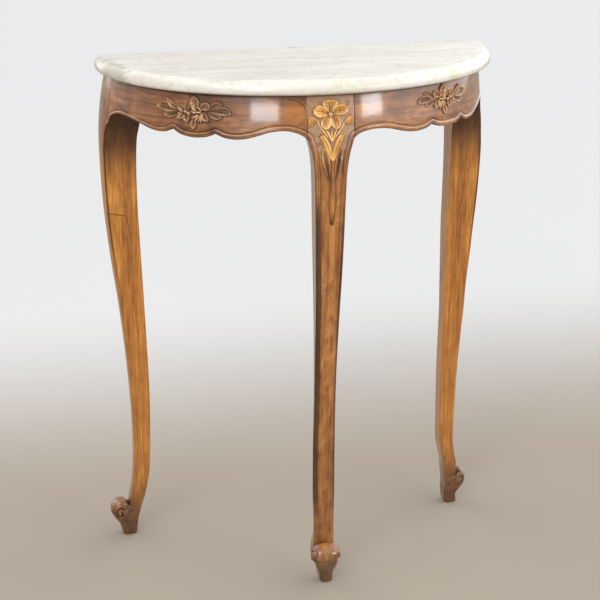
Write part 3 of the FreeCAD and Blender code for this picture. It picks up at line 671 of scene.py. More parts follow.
def blade(kind, knots, half):
    # One petal, leaf, stem or bud as (right, up, lift, tone, distance along). Its half width follows a
    # sine wave along a smooth middle line, and its face swells or dips between the rims, cut by creases.
    k = {**bladeShape, **bladeKinds[kind]}
    line = smoothLine(knots)
    along = np.concatenate([[0], np.cumsum(np.hypot(*np.diff(line, axis=0).T))])
    share = (1 - np.cos(np.pi * np.linspace(0, 1, k["rows"]))) / 2
    spine = np.stack([np.interp(share * along[-1], along, line[:, axis]) for axis in (0, 1)], axis=1)
    ahead = np.gradient(spine, axis=0)
    ahead /= np.linalg.norm(ahead, axis=1, keepdims=True)
    wave = np.sin(np.pi * (k["start"] + (k["end"] - k["start"]) * share) ** k["belly"])
    width = half * wave ** k["blunt"] * (1 - k["toothDepth"] * np.mod(share * k["teeth"], 1))
    s = np.linspace(-1, 1, k["columns"])[None, :]
    t = share[:, None]
    dome = np.sqrt(wave)[:, None]
    forward = -k["notch"] * hump(s, k["notchWidth"]) * t ** 4
    right = spine[:, :1] + ahead[:, 1:] * width[:, None] * s + ahead[:, :1] * forward
    up = spine[:, 1:] - ahead[:, :1] * width[:, None] * s + ahead[:, 1:] * forward
    crease = sum(depth * hump(s - place, k["creaseWidth"]) for place, depth in k["creases"])
    crease = crease * dome * smoothStep(1.0, 0.75, t)
    lift = (k["edge"] + k["crown"] * (1 - s ** 2) * dome + k["rise"] * t - crease
            - k["rimDrop"] * np.abs(s) ** 10)             # the last term rounds the rim off
    # tone: painted light on the rim and the crown by their tones, painted shade in the creases and at the
    # root
    rim = np.maximum(np.abs(s) ** 3, t ** 9)
    tone = (k["rimTone"] * rim + k["crownTone"] * (1 - rim)
            - np.clip(crease, 0, 1) * k["creaseShade"] - k["rootShade"] * (1 - t) ** 3)
    return right, up, lift, tone, np.repeat(t * along[-1], k["columns"], 1)


carvings = {
    # Each cluster: middle as (arc length, height), whether it is a mirror image, its size, how gilt,
    # stained and grey it looks, depth and width of the dark polish and painted shade round it, and the kind,
    # middle line and half width of its blades, lowest first.
    "front_leg_flower": {
        "middle": (-1.4, 731.5), "mirror": 1, "spread": 1.0, "golden": 1.0, "stain": 0.7, "grey": 0.0,
        "hollow": (0.7, 1.3), "blades": [
        ("tongue", [(3.2, -50), (3.6, -100), (3.4, -156.5)], 5.0),
        ("dish", [(-1.6, -91), (-5.4, -68), (-10.2, -45.4)], 4.8),
        ("dish", [(7.6, -89), (10.8, -67), (14.6, -45.2)], 4.4),
        ("stem", [(-4.4, -30), (-13.2, -17.4), (-18.6, -4.6)], 1.35),
        ("stem", [(6.5, -31.5), (15.2, -18.8), (20.8, -9.6)], 1.3),
        ("stem", [(1.4, -36), (-2.4, -27), (-7.2, -19.8)], 1.6),
        ("stem", [(2.4, -37), (2.0, -29), (1.5, -21.6)], 1.2),
        ("stem", [(3.4, -36), (5.8, -27.5), (8.6, -19.4)], 1.35),
        ("bud", [(-20.8, -3.2), (-25.6, -8.4), (-26.9, -15.6)], 4.8),
        ("bud", [(22.2, -13.4), (26.6, -8.6), (29.8, -2.0)], 4.8),
        ("bar", [(2.6, -63.5), (-4.4, -44), (-12.4, -27.8)], 4.4),
        ("bar", [(3.4, -63.5), (8.4, -44), (15.3, -28.2)], 4.4),
        ("fan", [(-0.2, 2.5), (0.0, 11), (0.2, 19.9)], 10.6),
        ("petal", [(-3.6, 2.0), (-13.5, 4.4), (-22.9, 4.7)], 7.8),
        ("petal", [(3.6, 2.6), (14, 6.0), (24.2, 5.2)], 6.9),
        ("petal", [(-2.2, -2.4), (-5.6, -9.6), (-6.9, -19.4)], 7.2),
        ("petal", [(2.4, -2.8), (6.6, -9.4), (9.4, -19.2)], 6.6),
        ("button", [(-0.1, -4.3), (0, 0), (0.1, 4.3)], 4.5)]},
    "left_apron_spray": {
        "middle": (-179.4, 734.4), "mirror": 1, "spread": 1.0, "golden": 0.1, "stain": 0.75, "grey": 0.30,
        "hollow": (0.6, 1.8)},
    "right_apron_spray": {
        "middle": (174.0, 737.5), "mirror": -1, "spread": 0.94, "golden": 0.25, "stain": 0.6, "grey": 0.35,
        "hollow": (0.55, 1.8)},
}
sprayBlades = [
    ("leaf", [(-31, 0), (-50, 2.4), (-66.2, 1.9)], 6.9),
    ("leaf", [(-32, -3.6), (-43.5, -7.2), (-53.4, -7.9)], 5.0),
    ("curled", [(-31.5, 1.2), (-42, 5.6), (-49.6, 13.2)], 3.9),
    ("toothed", [(11.5, 1.8), (22, 8.8), (31.6, 9.6)], 4.6),
    ("toothed", [(11.5, -2.4), (23.5, -6.0), (32.0, -7.5)], 4.8),
    ("leaf", [(20.5, 0.2), (34, 1.2), (44.4, -1.8)], 5.6),
    ("curled", [(-21.5, -1.2), (-27.5, 3.0), (-32.8, 7.2)], 4.4),
    ("curled", [(-20.5, -0.5), (-18.6, 4.6), (-17.2, 10.0)], 4.0),
    ("curled", [(-22, -3), (-27, -7.4), (-32.4, -11.2)], 4.8),
    ("curled", [(-20.5, -3), (-19.2, -9.6), (-17, -16.2)], 4.4),
    ("finger", [(-26.5, -5.5), (-29.5, -8.8), (-31.4, -12.4)], 1.5),
    ("finger", [(-20, -2), (-16.4, -3.8), (-12.6, -5.4)], 1.9),
    ("button", [(-20.9, -4.2), (-20.9, -1.7), (-20.9, 0.8)], 2.5),
    ("curled", [(-6.2, -10.5), (-8, -17), (-8.1, -24.8)], 4.2),
    ("curled", [(-3.6, 1.0), (-7.6, 9.0), (-9.8, 19.0)], 6.4),
    ("curled", [(1.2, 3.2), (7.6, 6.4), (13.6, 2.6)], 5.4),
    ("curled", [(2.8, -1.6), (7, -7.8), (13.0, -13.0)], 4.4),
    ("curled", [(-2.6, 1.4), (-5.2, 5.4), (-8.2, 11.0)], 2.8),
    ("finger", [(-4.6, -1.0), (-8.2, 1.2), (-12.2, 4.2)], 1.8),
    ("finger", [(-4.0, -2.4), (-8.0, -2.6), (-12.4, -1.4)], 1.7),
    ("finger", [(2.4, -1.2), (-1.0, -2.0), (-4.6, -1.6)], 1.8),
    ("finger", [(-2.2, -5.0), (-6.2, -8.2), (-10.6, -10.4)], 1.9),
    ("finger", [(-1.2, -6.2), (-3.4, -10.2), (-6.0, -14.0)], 1.8),
    ("finger", [(1.6, -5.0), (0.8, -10.4), (-1.2, -15.4)], 1.6),
    ("finger", [(4.0, -3.4), (3.4, -9.6), (2.2, -15.8)], 1.7),
    ("finger", [(2.6, 0.4), (-0.8, 3.2), (-3.0, 6.8)], 1.7),
]
for spray in ("left_apron_spray", "right_apron_spray"):
    carvings[spray]["blades"] = sprayBlades


def hollowPolishAndShade(name, arc, z):
    # Dark polish that gathers round a cluster, with painted shade at the blades' feet: deepest at the blades'
    # rims, gone a few mm from them.
    c = carvings[name]
    tone = np.zeros_like(arc)
    for kind, knots, half in c["blades"]:
        right, up, *_ = blade(kind, knots, half)
        rim = borderOf(np.arange(right.size).reshape(right.shape))[::2]
        rimArc = c["middle"][0] + c["mirror"] * c["spread"] * right.ravel()[rim]
        rimZ = c["middle"][1] + c["spread"] * up.ravel()[rim]
        gap = np.hypot(arc[..., None] - rimArc, z[..., None] - rimZ).min(-1)
        tone = np.maximum(tone, hump(gap, c["hollow"][1]))
    return -c["hollow"][0] * tone


slabShape = {
    # (inset from the slab's own nose line, height above its underside)
    "profile": [(11.5, 0), (9.5, 0.15), (5.6, 1.3), (2.6, 3.6), (1.9, 7), (2.3, 10.6), (3.8, 14.2),
                (6.4, 17.4), (9.6, 19.7), (12.6, 20.8), (15.5, 21)],
    "thickness": 21, "rings": 26, "columns": 360, "backSteps": 5,
}


def makeSlab():
    # The moulded edge as a profile (inset from the nose, height) carried round the half oval, and
    # closed above and below by rings that shrink towards the middle of the back edge.
    bottom = slabLow[2]
    profile = smoothLine(slabShape["profile"], 6)
    profile[:, 1] *= (slabHigh[2] - bottom) / slabShape["thickness"]
    bearing = np.linspace(0, math.pi, slabShape["columns"])
    halfX, halfY = slabHigh[0] - profile[:, :1], ovalCentreY - slabLow[1] - profile[:, :1]
    x, y = halfX * np.cos(bearing), ovalCentreY - halfY * np.sin(bearing)
    returns = np.linspace(slabHigh[1], ovalCentreY, slabShape["backSteps"])[:-1]
    x = np.hstack([np.repeat(x[:, :1], len(returns), 1), x, np.repeat(x[:, -1:], len(returns), 1)])
    y = np.hstack([np.tile(returns, (len(profile), 1)), y, np.tile(returns[::-1], (len(profile), 1))])
    z = np.repeat(bottom + profile[:, 1:], x.shape[1], 1)
    edge = np.stack([x, y, z], axis=-1)
    columns = edge.shape[1]
    middle = np.array([0, slabHigh[1], 0])
    share = np.linspace(1, 0, slabShape["rings"])[1:-1, None, None]
    above, below = edge[-1], edge[0]
    topRings = middle * (1 - share) + above * share
    topRings[..., 2] = slabHigh[2]
    bottomRings = (middle * (1 - share) + below * share)[::-1]
    bottomRings[..., 2] = bottom
    grid = np.vstack([bottomRings, edge, topRings])
    rows = len(grid)
    points = np.vstack([grid.reshape(-1, 3), [[0, slabHigh[1], bottom], [0, slabHigh[1], slabHigh[2]]]])
    faces = gridFaces(rows, columns, flip=True)
    last = rows * columns
    ring = np.arange(columns - 1)
    faces += np.stack([ring, ring + 1, np.full(columns - 1, last)], axis=1).tolist()
    ring += (rows - 1) * columns
    faces += np.stack([ring + 1, ring, np.full(columns - 1, last + 1)], axis=1).tolist()
    left = np.arange(rows) * columns                     # the straight back, one long face
    faces.append([last] + list(left + columns - 1) + [last + 1] + list(left[::-1]))
    return makePiece("marble_slab", points, faces, "marble", ["marble_top"])


apronShape = {
    "columns": 430, "outerRows": 104, "underRows": 5, "innerRows": 10, "overRows": 3,
    "jointGap": 0.12, "innerRise": 0.6,        # the inner lower edge lies a little higher
    "sawnTone": -0.8,                          # the scalloped edge's underside: sawn wood without polish, painted dark as shade
    "darkerStretch": {"left": (-0.5, 165, 70), "right": (0, 165, 70)},   # tone, middle and width of a darker stretch along each apron
}


def edgeHeight(arc, side):
    # Height of the scalloped edge at an arc length, between front leg and rear leg.
    part = edgeLines[side][edgeSteps:-edgeSteps]
    return np.interp(arc, part[:, 0], part[:, 1])


def makeApron(side, sign):
    # The board's section carried along the arc: down the outside with the band, in along the
    # scalloped edge, up the plain inside and back along the top.
    gap = apronShape["jointGap"]
    rearReach = ovalCentreY - legBackY + frameShape["rearPost"]

    def jointArcs(z):
        # where the two joints cross the swelling surface
        return (arcAt(np.arccos(frameShape["seamX"] / (ovalX + swell(z)))) + gap,
                arcAt(np.arcsin(rearReach / (ovalY + swell(z)))) - gap)

    arc = np.linspace(*jointArcs(frameTop), apronShape["columns"])[:, None]
    down = np.linspace(0, 1, apronShape["outerRows"])[None, :]
    edge = edgeHeight(arc, side)
    z = frameTop + (edge - frameTop) * down
    low, high = jointArcs(z)
    arcGrid = low + (high - low) * (arc - arc[0]) / (arc[-1] - arc[0])
    z = frameTop + (edgeHeight(arcGrid, side) - frameTop) * down
    distance = edgeDistance(arcGrid, z, side)
    lift, tone = bandRelief(distance, z, arcGrid)
    lift = lift + jointCut(np.minimum(arcGrid - low, high - arcGrid))
    depth, middle, width = apronShape["darkerStretch"][side]
    # dust at the joints, painted shadow under the slab, dark polish and painted shade round the spray, and a
    # darker stretch
    tone = (tone + hollowPolishAndShade(side + "_apron_spray", sign * arcGrid, z) + jointDustAndSlabShadow(arcGrid - low, z)
            + depth * hump(arcGrid - middle, width))
    outer = onFrame(arcGrid, z, lift)
    bearing = bearingAt(arc)
    inner = np.stack([(ovalX - frameShape["boardThickness"]) * np.cos(bearing),
                      ovalCentreY - (ovalY - frameShape["boardThickness"]) * np.sin(bearing)], axis=-1)
    up = np.linspace(0, 1, apronShape["innerRows"])[None, :]
    innerEdge = edge + apronShape["innerRise"]
    insideZ = innerEdge + (frameTop - innerEdge) * up
    inside = np.concatenate([np.repeat(inner, insideZ.shape[1], 1), insideZ[..., None]], axis=2)
    under, over = (
        start + (end - start) * np.linspace(0, 1, apronShape[steps] + 2)[None, 1:-1, None]
        for start, end, steps in ((outer[:, -1:], inside[:, :1], "underRows"),
                                  (inside[:, -1:], outer[:, :1], "overRows")))
    grid = np.concatenate([outer, under, inside, over], axis=1)
    columns, rows = grid.shape[:2]
    grain = np.concatenate([np.repeat(arc, rows, 1)[..., None], grid[..., 2:],
                            np.zeros((columns, rows, 1))], axis=2)
    outerRows = apronShape["outerRows"]
    grain[:, outerRows:, 2] = frameShape["boardThickness"]
    tones = np.zeros((columns, rows))
    tones[:, :outerRows] = tone
    # the scalloped edge's underside: no polish, and painted shade
    tones[:, outerRows:outerRows + apronShape["underRows"]] = apronShape["sawnTone"]
    grid[..., 0] *= sign
    grid = leaned(grid)
    faces = gridFaces(columns, rows, closed=True, flip=sign < 0)
    first, last = np.arange(rows), np.arange(rows) + (columns - 1) * rows
    ends = [list(first[::-1]), list(last)]
    faces += ends if sign > 0 else [end[::-1] for end in ends]
    return makePiece(side + "_apron_board", grid.reshape(-1, 3), faces, "polished_walnut",
                     [side + "_apron"], grain.reshape(-1, 3), {"tone": tones, "apron": tones * 0 + 1})


footShape = {
    # the scroll's middle height and radius, and the bearings where the front line enters and leaves it
    "centreZ": 48, "radius": 14, "crease": 150, "nose": -30,
    "throat": [(8.8, 34), (4.4, 26.5), (0.8, 18.5), (-1, 10), (-1.7, 4.5), (-2.6, 1.8), (-5.2, 0)],
    "earRadius": 12.4, "earZ": 50.2, "earRise": 4.6, "grooveDepth": 3.0, "grooveWidth": 1.4,
    "grooveStart": 9.4, "groovePitch": 6.2, "grooveTurns": 1.1,
    "eyePlace": (2.2, 43.5), "eyeStretch": (0.9, 1.28), "eyeRadius": 3.4, "eyeRise": 1.6,
    "lobe": (7.5, 5.5),      # radii between which the polished lobe inside the spiral begins
    # tones: a little lighter on the disc, painted highlight on the groove's shoulders, painted shade in the
    # groove, a darker lobe, a lighter foot face
    "discTone": 0.1, "ridgeHighlight": 0.6, "grooveShade": -1.3, "lobeTone": -0.35, "faceTone": 0.15,
    "barrel": 2.4,           # how far the face of the foot swells
    "settle": 14,            # rings over which the swelling begins
    "squeezeRise": (0, 24),  # heights over which a shallower scroll is squeezed
    "backLevel": 35,         # where the back line is when the front line leaves the scroll
    "level": (24, 12),       # heights between which the two come level
    "faceColumns": 72, "sideColumns": 56, "backColumns": 10, "sweepRings": 60, "throatRings": 9,
    "bendIn": 4, "bendOut": (22, -8),    # rings over which the sides bend to the scroll and back again
}


def scrollRelief(o, z):
    # How far the raised spiral stands out of the foot's side at (outward, height): a disc with a
    # spiral groove that winds in from the crease to the eye.
    f = footShape
    outline = np.hypot(o, z - f["earZ"])
    disc = f["earRise"] * smoothStep(f["earRadius"], f["earRadius"] - 1.6, outline)
    wide, high = (o - f["eyePlace"][0]) / f["eyeStretch"][0], (z - f["eyePlace"][1]) / f["eyeStretch"][1]
    radius = np.hypot(wide, high)
    turn = np.mod(np.radians(f["crease"]) - np.arctan2(high, wide), 2 * np.pi)
    groove = np.zeros_like(radius)
    for lap in range(2):
        wound = turn / (2 * np.pi) + lap
        track = f["grooveStart"] - f["groovePitch"] * wound
        groove = np.maximum(groove, hump(radius - track, f["grooveWidth"])
                            * smoothStep(f["grooveTurns"], f["grooveTurns"] - 0.1, wound))
    eye = f["eyeRise"] * smoothStep(f["eyeRadius"], f["eyeRadius"] * 0.3, radius)
    inside = smoothStep(f["earRadius"] + 0.6, f["earRadius"] - 0.8, outline)
    # tone: painted highlight on the groove's shoulders and painted shade in the groove
    tone = inside * (f["discTone"] + f["ridgeHighlight"] * hump(groove - 0.35, 0.2)
                     + f["lobeTone"] * smoothStep(*f["lobe"], radius))
    return disc - f["grooveDepth"] * groove + eye, tone + f["grooveShade"] * groove


def legPaths():
    # Front and back lines of the leg in (outward, height) ring by ring, and how far each ring bends
    # through the scroll's centre. From the crease on, the front line runs round the scroll.
    f = footShape
    crease = math.radians(f["crease"])
    creaseZ = f["centreZ"] + f["radius"] * math.sin(crease)
    upper = np.concatenate([np.linspace(start, end, count)[:-1] for start, end, count in
                            ((frameTop, 600, 150), (600, 84, 150), (84, creaseZ, 22))])
    sweep = np.radians(np.concatenate([np.linspace(f["crease"], f["crease"] - 3, 5),
                                       np.linspace(f["crease"] - 6, f["nose"], f["sweepRings"])]))
    scroll = np.stack([f["radius"] * np.cos(sweep), f["centreZ"] + f["radius"] * np.sin(sweep)], axis=1)
    throat = smoothLine([scroll[-1]] + f["throat"], f["throatRings"])[1:]
    front = np.vstack([np.stack([swell(upper), upper], axis=1), scroll, throat])
    backZ = np.concatenate([upper, np.linspace(creaseZ, f["backLevel"], len(sweep)),
                            np.linspace(f["backLevel"], 0, len(throat) + 1)[1:]])
    # near the floor the back line keeps level with the front line
    level = smoothStep(*f["level"], front[:, 1])
    backZ = backZ * (1 - level) + front[:, 1] * level
    backZ[:len(upper)] = upper
    back = np.stack([insideLine(backZ), backZ], axis=1)
    ring = np.arange(len(front)) - len(upper)
    begin, end = f["bendOut"]
    bend = smoothStep(-1, f["bendIn"], ring) * smoothStep(len(sweep) + begin, len(sweep) + end, ring)
    return front, back, bend, len(upper)


def sidePoints(front, back, bend):
    # Points of each ring from the front line to the back line, straight or bent through the scroll's
    # centre, where they crowd together so that the spiral is sampled evenly.
    share = np.linspace(0, 1, footShape["sideColumns"])[None, :, None]
    straight = front[:, None] + (back - front)[:, None] * share
    centre = np.array([0, footShape["centreZ"]])
    inward = np.clip(share / 0.5, 0, 1)
    reach = np.linalg.norm(back - centre, axis=1)[:, None, None]
    outShare = np.clip((share - 0.5) / 0.5, 0, 1)
    near = footShape["radius"] / reach
    outward = np.where(outShare < 0.7, near * outShare / 0.7, near + (1 - near) * (outShare - 0.7) / 0.3)
    bent = (front[:, None] * (1 - inward) + centre * inward
            + (back[:, None] - centre) * outward * (share > 0.5))
    return straight + (bent - straight) * bend[:, None, None]


def outwardAt(isFront, a, z):
    # Where the frame's outer surface lies at (across, height) in a leg's own axes.
    out = swell(z)
    if isFront:
        return (ovalY + out) * np.sqrt(1 - (a / (ovalX + out)) ** 2) - ovalY
    sine = (ovalCentreY - legBackY + a) / (ovalY + out)
    return (ovalX + out) * np.sqrt(1 - sine ** 2) - ovalX


def inFrame(name, a, o, z):
    # From a leg's own axes, across, outward and up, to the frame's.
    if name == "front_leg":
        return np.stack([a, legFrontY - o, z], axis=-1)
    return np.stack([(ovalX + o) * (1 if name == "right_leg" else -1), legBackY - a, z], axis=-1)


# the sunk ground behind the flower, and how deep the dark below it is cut round the long leaves
groundShape = {"reach": 34.5, "slope": 1.6, "foot": 668, "head": 763, "depth": 0.8, "hollow": 0.9}


def makeLeg(name):
    # Rings from the top down. Each ring goes across the outer face, back along one side, across
    # the back and forward along the other side.
    f = footShape
    front, back, bend, footStart = legPaths()
    front[:, 0] += drifted(name, "knee", front[:, 1])
    side = sidePoints(front, back, bend)
    rings = len(front)
    frontZ, sideZ = front[:, 1], side[:, :, 1]
    inFoot = (np.arange(rings) >= footStart)[:, None]
    isFront, flip = name == "front_leg", name != "right_leg"
    nose = legDrift[name].get("nose", 1)

    def edges(z):
        if isFront:
            return -frontHalf(z), frontHalf(z)
        footMiddle, footTop = legShape["rearFootMiddle"], legShape["footTop"]
        low = rearBackEdge(z)
        return low, np.where(z > footTop, rearFrontEdge(np.maximum(z, footTop)), 2 * footMiddle - low)

    # outer face: across positions crowd together towards both edges
    across = np.sin(np.linspace(-0.5, 0.5, f["faceColumns"]) * np.pi)[None, :] / 2 + 0.5
    low, high = (edge[:, None] for edge in edges(frontZ))
    a = low + (high - low) * across
    z = np.repeat(frontZ[:, None], a.shape[1], 1)
    arc = a if isFront else arcAt(np.arcsin((ovalCentreY - legBackY + a) / (ovalY + swell(z))))
    edgeGap = np.minimum(a - low, high - a)
    distance = edgeDistance(arc, z)
    lift, tone = bandRelief(distance, z, arc)
    seam = frameShape["seamX"] - np.abs(a) if isFront else frameShape["rearPost"] - a
    jointed = z > frameShape["lobeHeight"]
    lift = lift + jointCut(seam) * jointed
    # dust in the front leg's joints and painted shadow under the slab
    tone = tone + jointDustAndSlabShadow(np.where(jointed & isFront, seam, 99), z)
    rounded = arris(edgeGap, edgeRound(z))
    # below the band the edges round over more, and the edge at the wall has no band at all
    fade = smoothStep(bandShape["fadeFrom"], bandShape["fadeTo"], z)
    lift = lift - rounded * np.where((a - low > high - a) | isFront, fade, 1)
    ground = np.zeros_like(a)
    middle = (low + high) / 2
    bulge = 1 - ((a - middle) / (high - middle)) ** 2
    if isFront:                    # the carved flower stands on a sunk, stippled ground
        g = groundShape
        ground = (smoothStep(g["reach"], g["reach"] - g["slope"], np.abs(a))
                  * smoothStep(g["foot"], g["foot"] + 8, z) * smoothStep(g["head"], g["head"] - g["slope"], z)
                  * smoothStep(bandShape["width"] + 1, bandShape["width"] + 3, distance))
        # dark polish and painted shade round the flower's blades; below the ground's foot it also cuts the
        # surface
        hollow = hollowPolishAndShade("front_leg_flower", a, z)
        lift = lift - g["depth"] * ground + g["hollow"] * hollow * smoothStep(g["foot"], g["foot"] - 6, z)
        # painted shade along the front leg's two rounded edges
        dark = sum(depth * smoothStep(end, start, gap)
                   for (depth, end, start), gap in zip(legShape["shadedEdges"], (a - low, high - a)))
        tone = (tone + hollow * (z > 560)
                - dark * smoothStep(*legShape["darkEnd"], z) * smoothStep(*legShape["darkRise"], z))
    else:
        lift = lift + crownLine(z) * bulge
    onShaft = outwardAt(isFront, a, z) + lift + drifted(name, "knee", z)
    settle = smoothStep(0, f["settle"], np.arange(rings) - footStart)[:, None]
    inward = side[:, 1:2] - front[:, None]
    inward = inward / np.linalg.norm(inward, axis=2, keepdims=True)
    pull = np.where(inFoot, rounded - f["barrel"] * bulge * settle, 0)
    o = np.where(inFoot, front[:, :1] + inward[..., 0] * pull, onShaft)
    face = np.stack([a, o, z + inward[..., 1] * pull], axis=-1)

    # the two sides, with the raised spiral of the foot
    footOnly = (sideZ < legShape["footTop"]) & (bend[:, None] > 0)
    relief, sideTone = (part * footOnly for part in scrollRelief(side[..., 0], sideZ))
    relief = relief * nose ** 2
    # painted shade under the frame on the rear legs' sides
    sideTone = sideTone - legShape["shade"] * smoothStep(*legShape["shadeRise"], sideZ) * (not isFront)
    low, high = edges(sideZ)
    depth = (front[:, None, 0] - side[..., 0]) / (front[:, :1] - back[:, :1])
    taper = (legShape["backTaper"] * np.clip(depth, 0, 1) * isFront
             * smoothStep(*legShape["taperRise"], sideZ) * smoothStep(*legShape["taperEnd"], sideZ))
    rightEdge = np.stack([high - taper + relief, side[..., 0], sideZ], axis=-1)
    leftEdge = np.stack([low + taper - relief * isFront, side[..., 0], sideZ], axis=-1)
    # the sides start where the rounded outer face ends
    hold = (1 - np.linspace(0, 1, f["sideColumns"])) ** 6
    for edge, column in ((rightEdge, -1), (leftEdge, 0)):
        edge += (face[:, column] - edge[:, 0])[:, None] * hold[None, :, None]
    share = np.linspace(0, 1, f["backColumns"])[None, 1:-1, None]
    backFace = rightEdge[:, -1:] + (leftEdge[:, -1:] - rightEdge[:, -1:]) * share
    loop = np.concatenate([face, rightEdge[:, 1:], backFace, leftEdge[:, ::-1][:, :-1]], axis=1)
    grounds = np.zeros(loop.shape[:2])
    grounds[:, :ground.shape[1]] = ground * ~inFoot
    tones = np.concatenate([np.where(inFoot, f["faceTone"], tone), sideTone[:, 1:],
                            np.zeros((rings, f["backColumns"] - 2)),
                            sideTone[:, ::-1][:, :-1] * isFront], axis=1)

    # this leg's own drift, with its scroll squeezed towards the crease
    footing = loop[..., 2].copy()
    crease = f["radius"] * math.cos(math.radians(f["crease"])) - 1
    squeeze = (nose - 1) * smoothStep(*f["squeezeRise"], footing) * (footing < legShape["footTop"])
    loop[..., 1] += squeeze * np.clip(loop[..., 1] - crease, 0, None) * inFoot
    for axis, key in enumerate(("across", "outward", "upward")):
        loop[..., axis] += drifted(name, key, footing)
    count = loop.shape[1]
    grain = np.stack([loop[..., 2], loop[..., 0], loop[..., 1]], axis=-1).reshape(-1, 3)
    faces = gridFaces(rings, count, closed=True, flip=flip)
    top, bottom = list(range(count)), list(range((rings - 1) * count, rings * count))
    faces += [top, bottom[::-1]] if flip else [top[::-1], bottom]
    points = inFrame(name, loop[..., 0], loop[..., 1], loop[..., 2])
    least, gain = legShape["stain"][name]
    stain = least + gain * smoothStep(*legShape["stainRise"], loop[..., 2])
    return makePiece(name + "_carved", points.reshape(-1, 3), faces, "polished_walnut", [name],
                     grain, {"tone": tones, "apron": stain, "ground": grounds})


# how far the blades' backs lie in the wood, how dark they are as painted shade down the blades' sides, and
# how the grain moves on per blade
shellShape = {"sunk": 0.9, "backShade": -1.0, "grainStep": 37}


def carve(name):
    # All blades of a cluster as closed shells that stand in the wood behind them.
    c, onLeg = carvings[name], name == "front_leg_flower"
    points, faces, grain, tones, golden = [], [], [], [], []
    first = 0
    for order, (kind, knots, half) in enumerate(c["blades"]):
        right, up, lift, tone, along = blade(kind, knots, half)
        rows, columns = right.shape
        z = c["middle"][1] + up * c["spread"]
        arc = c["middle"][0] + c["mirror"] * c["spread"] * right
        sunk = 0
        if onLeg:
            arc = arc + drifted("front_leg", "across", z)
            sunk = groundShape["depth"] * smoothStep(groundShape["foot"], groundShape["foot"] + 8, z)
        # the backs' dark tone paints shade down the blades' sides
        for level, shade in ((lift, tone), (np.full_like(lift, -shellShape["sunk"]),
                                            np.full_like(tone, shellShape["backShade"]))):
            placed = onFrame(arc, z, level - sunk).reshape(-1, 3)
            points.append(placed if onLeg else leaned(placed))
            tones.append(shade.ravel())
            golden.append(np.full(shade.size, c["golden"] * bladeGilt.get(kind, 1)))
            grain.append(np.stack([along + order * shellShape["grainStep"], right, level],
                                  axis=-1).reshape(-1, 3))
        count = rows * columns
        faces += gridFaces(rows, columns, first, flip=c["mirror"] < 0)
        faces += gridFaces(rows, columns, first + count, flip=c["mirror"] > 0)
        number = first + np.arange(count).reshape(rows, columns)
        rim = borderOf(number)
        after = np.roll(rim, -1)
        walls = np.stack([rim + count, after + count, after, rim], axis=1)
        faces += (walls if c["mirror"] > 0 else walls[:, ::-1]).tolist()
        first += 2 * count
    tones = np.concatenate(tones)
    return makePiece(name, np.vstack(points), faces, "polished_walnut", [], np.vstack(grain),
                     {"tone": tones, "golden": np.concatenate(golden), "apron": tones * 0 + c["stain"],
                      "ground": tones * 0 + c["grey"]})


makeSlab()
makeApron("left", -1)
makeApron("right", 1)
for leg in ("front_leg", "right_leg", "left_leg"):
    makeLeg(leg)
for cluster in carvings:
    carve(cluster)

plainFinishes = {
    # CAD nodes that stay as they are, and the finish each one gets
    "back_rail": "back_rail", "centre_bearer": "centre_bearer", "joint_dowels": "dowel",
    "rear_left_block": "block", "rear_right_block": "block",
    "front_left_block": "block", "front_right_block": "block", "block_screws": "steel",
}
plain = {name: bareBeech(name) for name in beechLooks}
plain["steel"] = screwSteel()
for nodeName, finish in plainFinishes.items():
    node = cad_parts[nodeName]
    node.data.materials.clear()
    node.data.materials.append(plain[finish])
print("plain nodes finished")

stageShape = {
    "floorSize": 24.0, "floorColor": (0.315, 0.270, 0.218, 1), "roughness": 0.8,
    "paleFrom": (0.20, 1.2), "farGlow": (0.37, 0.43, 0.50, 1),
}


def makeStage():
    half = stageShape["floorSize"] / 2
    mesh = bpy.data.meshes.new("floor")
    mesh.from_pydata([(-half, -half, 0), (half, -half, 0), (half, half, 0), (-half, half, 0)], [],
                     [(0, 1, 2, 3)])
    floor = bpy.data.objects.new("floor", mesh)
    bpy.context.scene.collection.objects.link(floor)
    # the floor behind the table pales towards white, but only as the camera sees it
    paint = Paint("floor")
    seen = paint.node("ShaderNodeLightPath", {}, {}, "Is Camera Ray")
    far = paint.axis(paint.place(), "Y").within(*stageShape["paleFrom"])
    glow = paint.mix(seen * far, (0, 0, 0, 1), stageShape["farGlow"])
    mesh.materials.append(paint.finish({
        "Base Color": stageShape["floorColor"], "Roughness": stageShape["roughness"],
        "Emission Color": glow, "Emission Strength": 1.0}))


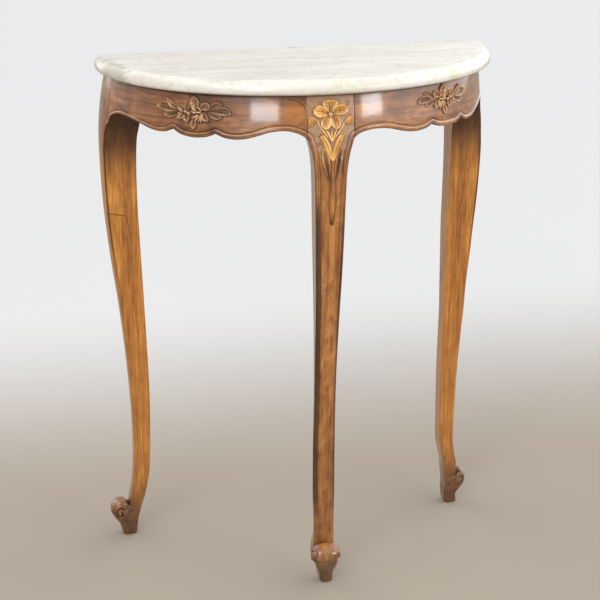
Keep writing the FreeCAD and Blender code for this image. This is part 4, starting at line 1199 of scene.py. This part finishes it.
lightShape = {
    # the white room's strength in front of the table, behind it and overhead, and added at the sides
    "front": 0.32, "behind": 0.52, "above": 0.72, "right": 1.80, "left": 1.25,
    # where each begins and is full along its axis of the direction, and where the left one fades again
    "behindSpan": (-0.75, 0.55), "aboveSpan": (0.15, 0.8), "rightSpan": (0.1, 0.9),
    "leftSpan": (-0.18, -0.40), "leftFade": (-0.45, -0.75), "leftFaded": 0.8,
    # place, the point it faces, width and height in metres, watts
    "key": ((-1.5, -2.4, 2.9), (0, 0, 0.5), 1.9, 1.5, 42),
    "leftPane": ((-1.16, -3.24, 1.07), (-0.08, -0.11, 0.74), 0.85, 0.40, 12),
    "rightPane": ((1.62, -2.40, 1.00), (0.06, -0.11, 0.74), 0.55, 0.36, 8),
}


def makeLights():
    # The world is a plain white room whose strength eases from front to back and to the ceiling,
    # with a bright side wall on the right and a bright strip on the left.
    light = lightShape
    world = bpy.data.worlds.new("studio")
    bpy.context.scene.world = world
    room = Paint("studio", world)
    toward = room.node("ShaderNodeTexCoord", {}, {}, "Generated")
    back = room.axis(toward, "Y").within(*light["behindSpan"])
    up = room.axis(toward, "Z").within(*light["aboveSpan"])
    strength = light["front"] + back * (light["behind"] - light["front"])
    strength = strength + up * (light["above"] - strength)
    side = room.axis(toward, "X")
    strength = strength + side.within(*light["rightSpan"]) * light["right"]
    strip = side.within(*light["leftSpan"]) * (1.0 - side.within(*light["leftFade"]) * light["leftFaded"])
    strength = strength + strip * light["left"]
    room.finish({"Color": (1, 1, 1, 1), "Strength": strength})
    for name in ("key", "leftPane", "rightPane"):
        place, target, width, height, watts = light[name]
        data = bpy.data.lights.new(name, "AREA")
        data.shape, data.size, data.size_y, data.energy = "RECTANGLE", width, height, watts
        lamp = bpy.data.objects.new(name, data)
        lamp.location = place
        lamp.rotation_euler = (Vector(target) - Vector(place)).to_track_quat("-Z", "Y").to_euler()
        bpy.context.scene.collection.objects.link(lamp)


# millimetres for the lens, metres for the place, degrees for how far it looks down and to the side
cameraShape = {"sensor": 36, "lens": 90, "place": (-0.483, -2.0757, 1.186), "down": 19.76, "turn": -12.65}


def makeCamera():
    data = bpy.data.cameras.new("view")
    data.sensor_width, data.lens = cameraShape["sensor"], cameraShape["lens"]
    camera = bpy.data.objects.new("view", data)
    camera.location = cameraShape["place"]
    camera.rotation_euler = (math.radians(90 - cameraShape["down"]), 0, math.radians(cameraShape["turn"]))
    bpy.context.scene.collection.objects.link(camera)
    bpy.context.scene.camera = camera


makeStage()
makeLights()
makeCamera()
bpy.context.scene.view_settings.view_transform = "Standard"
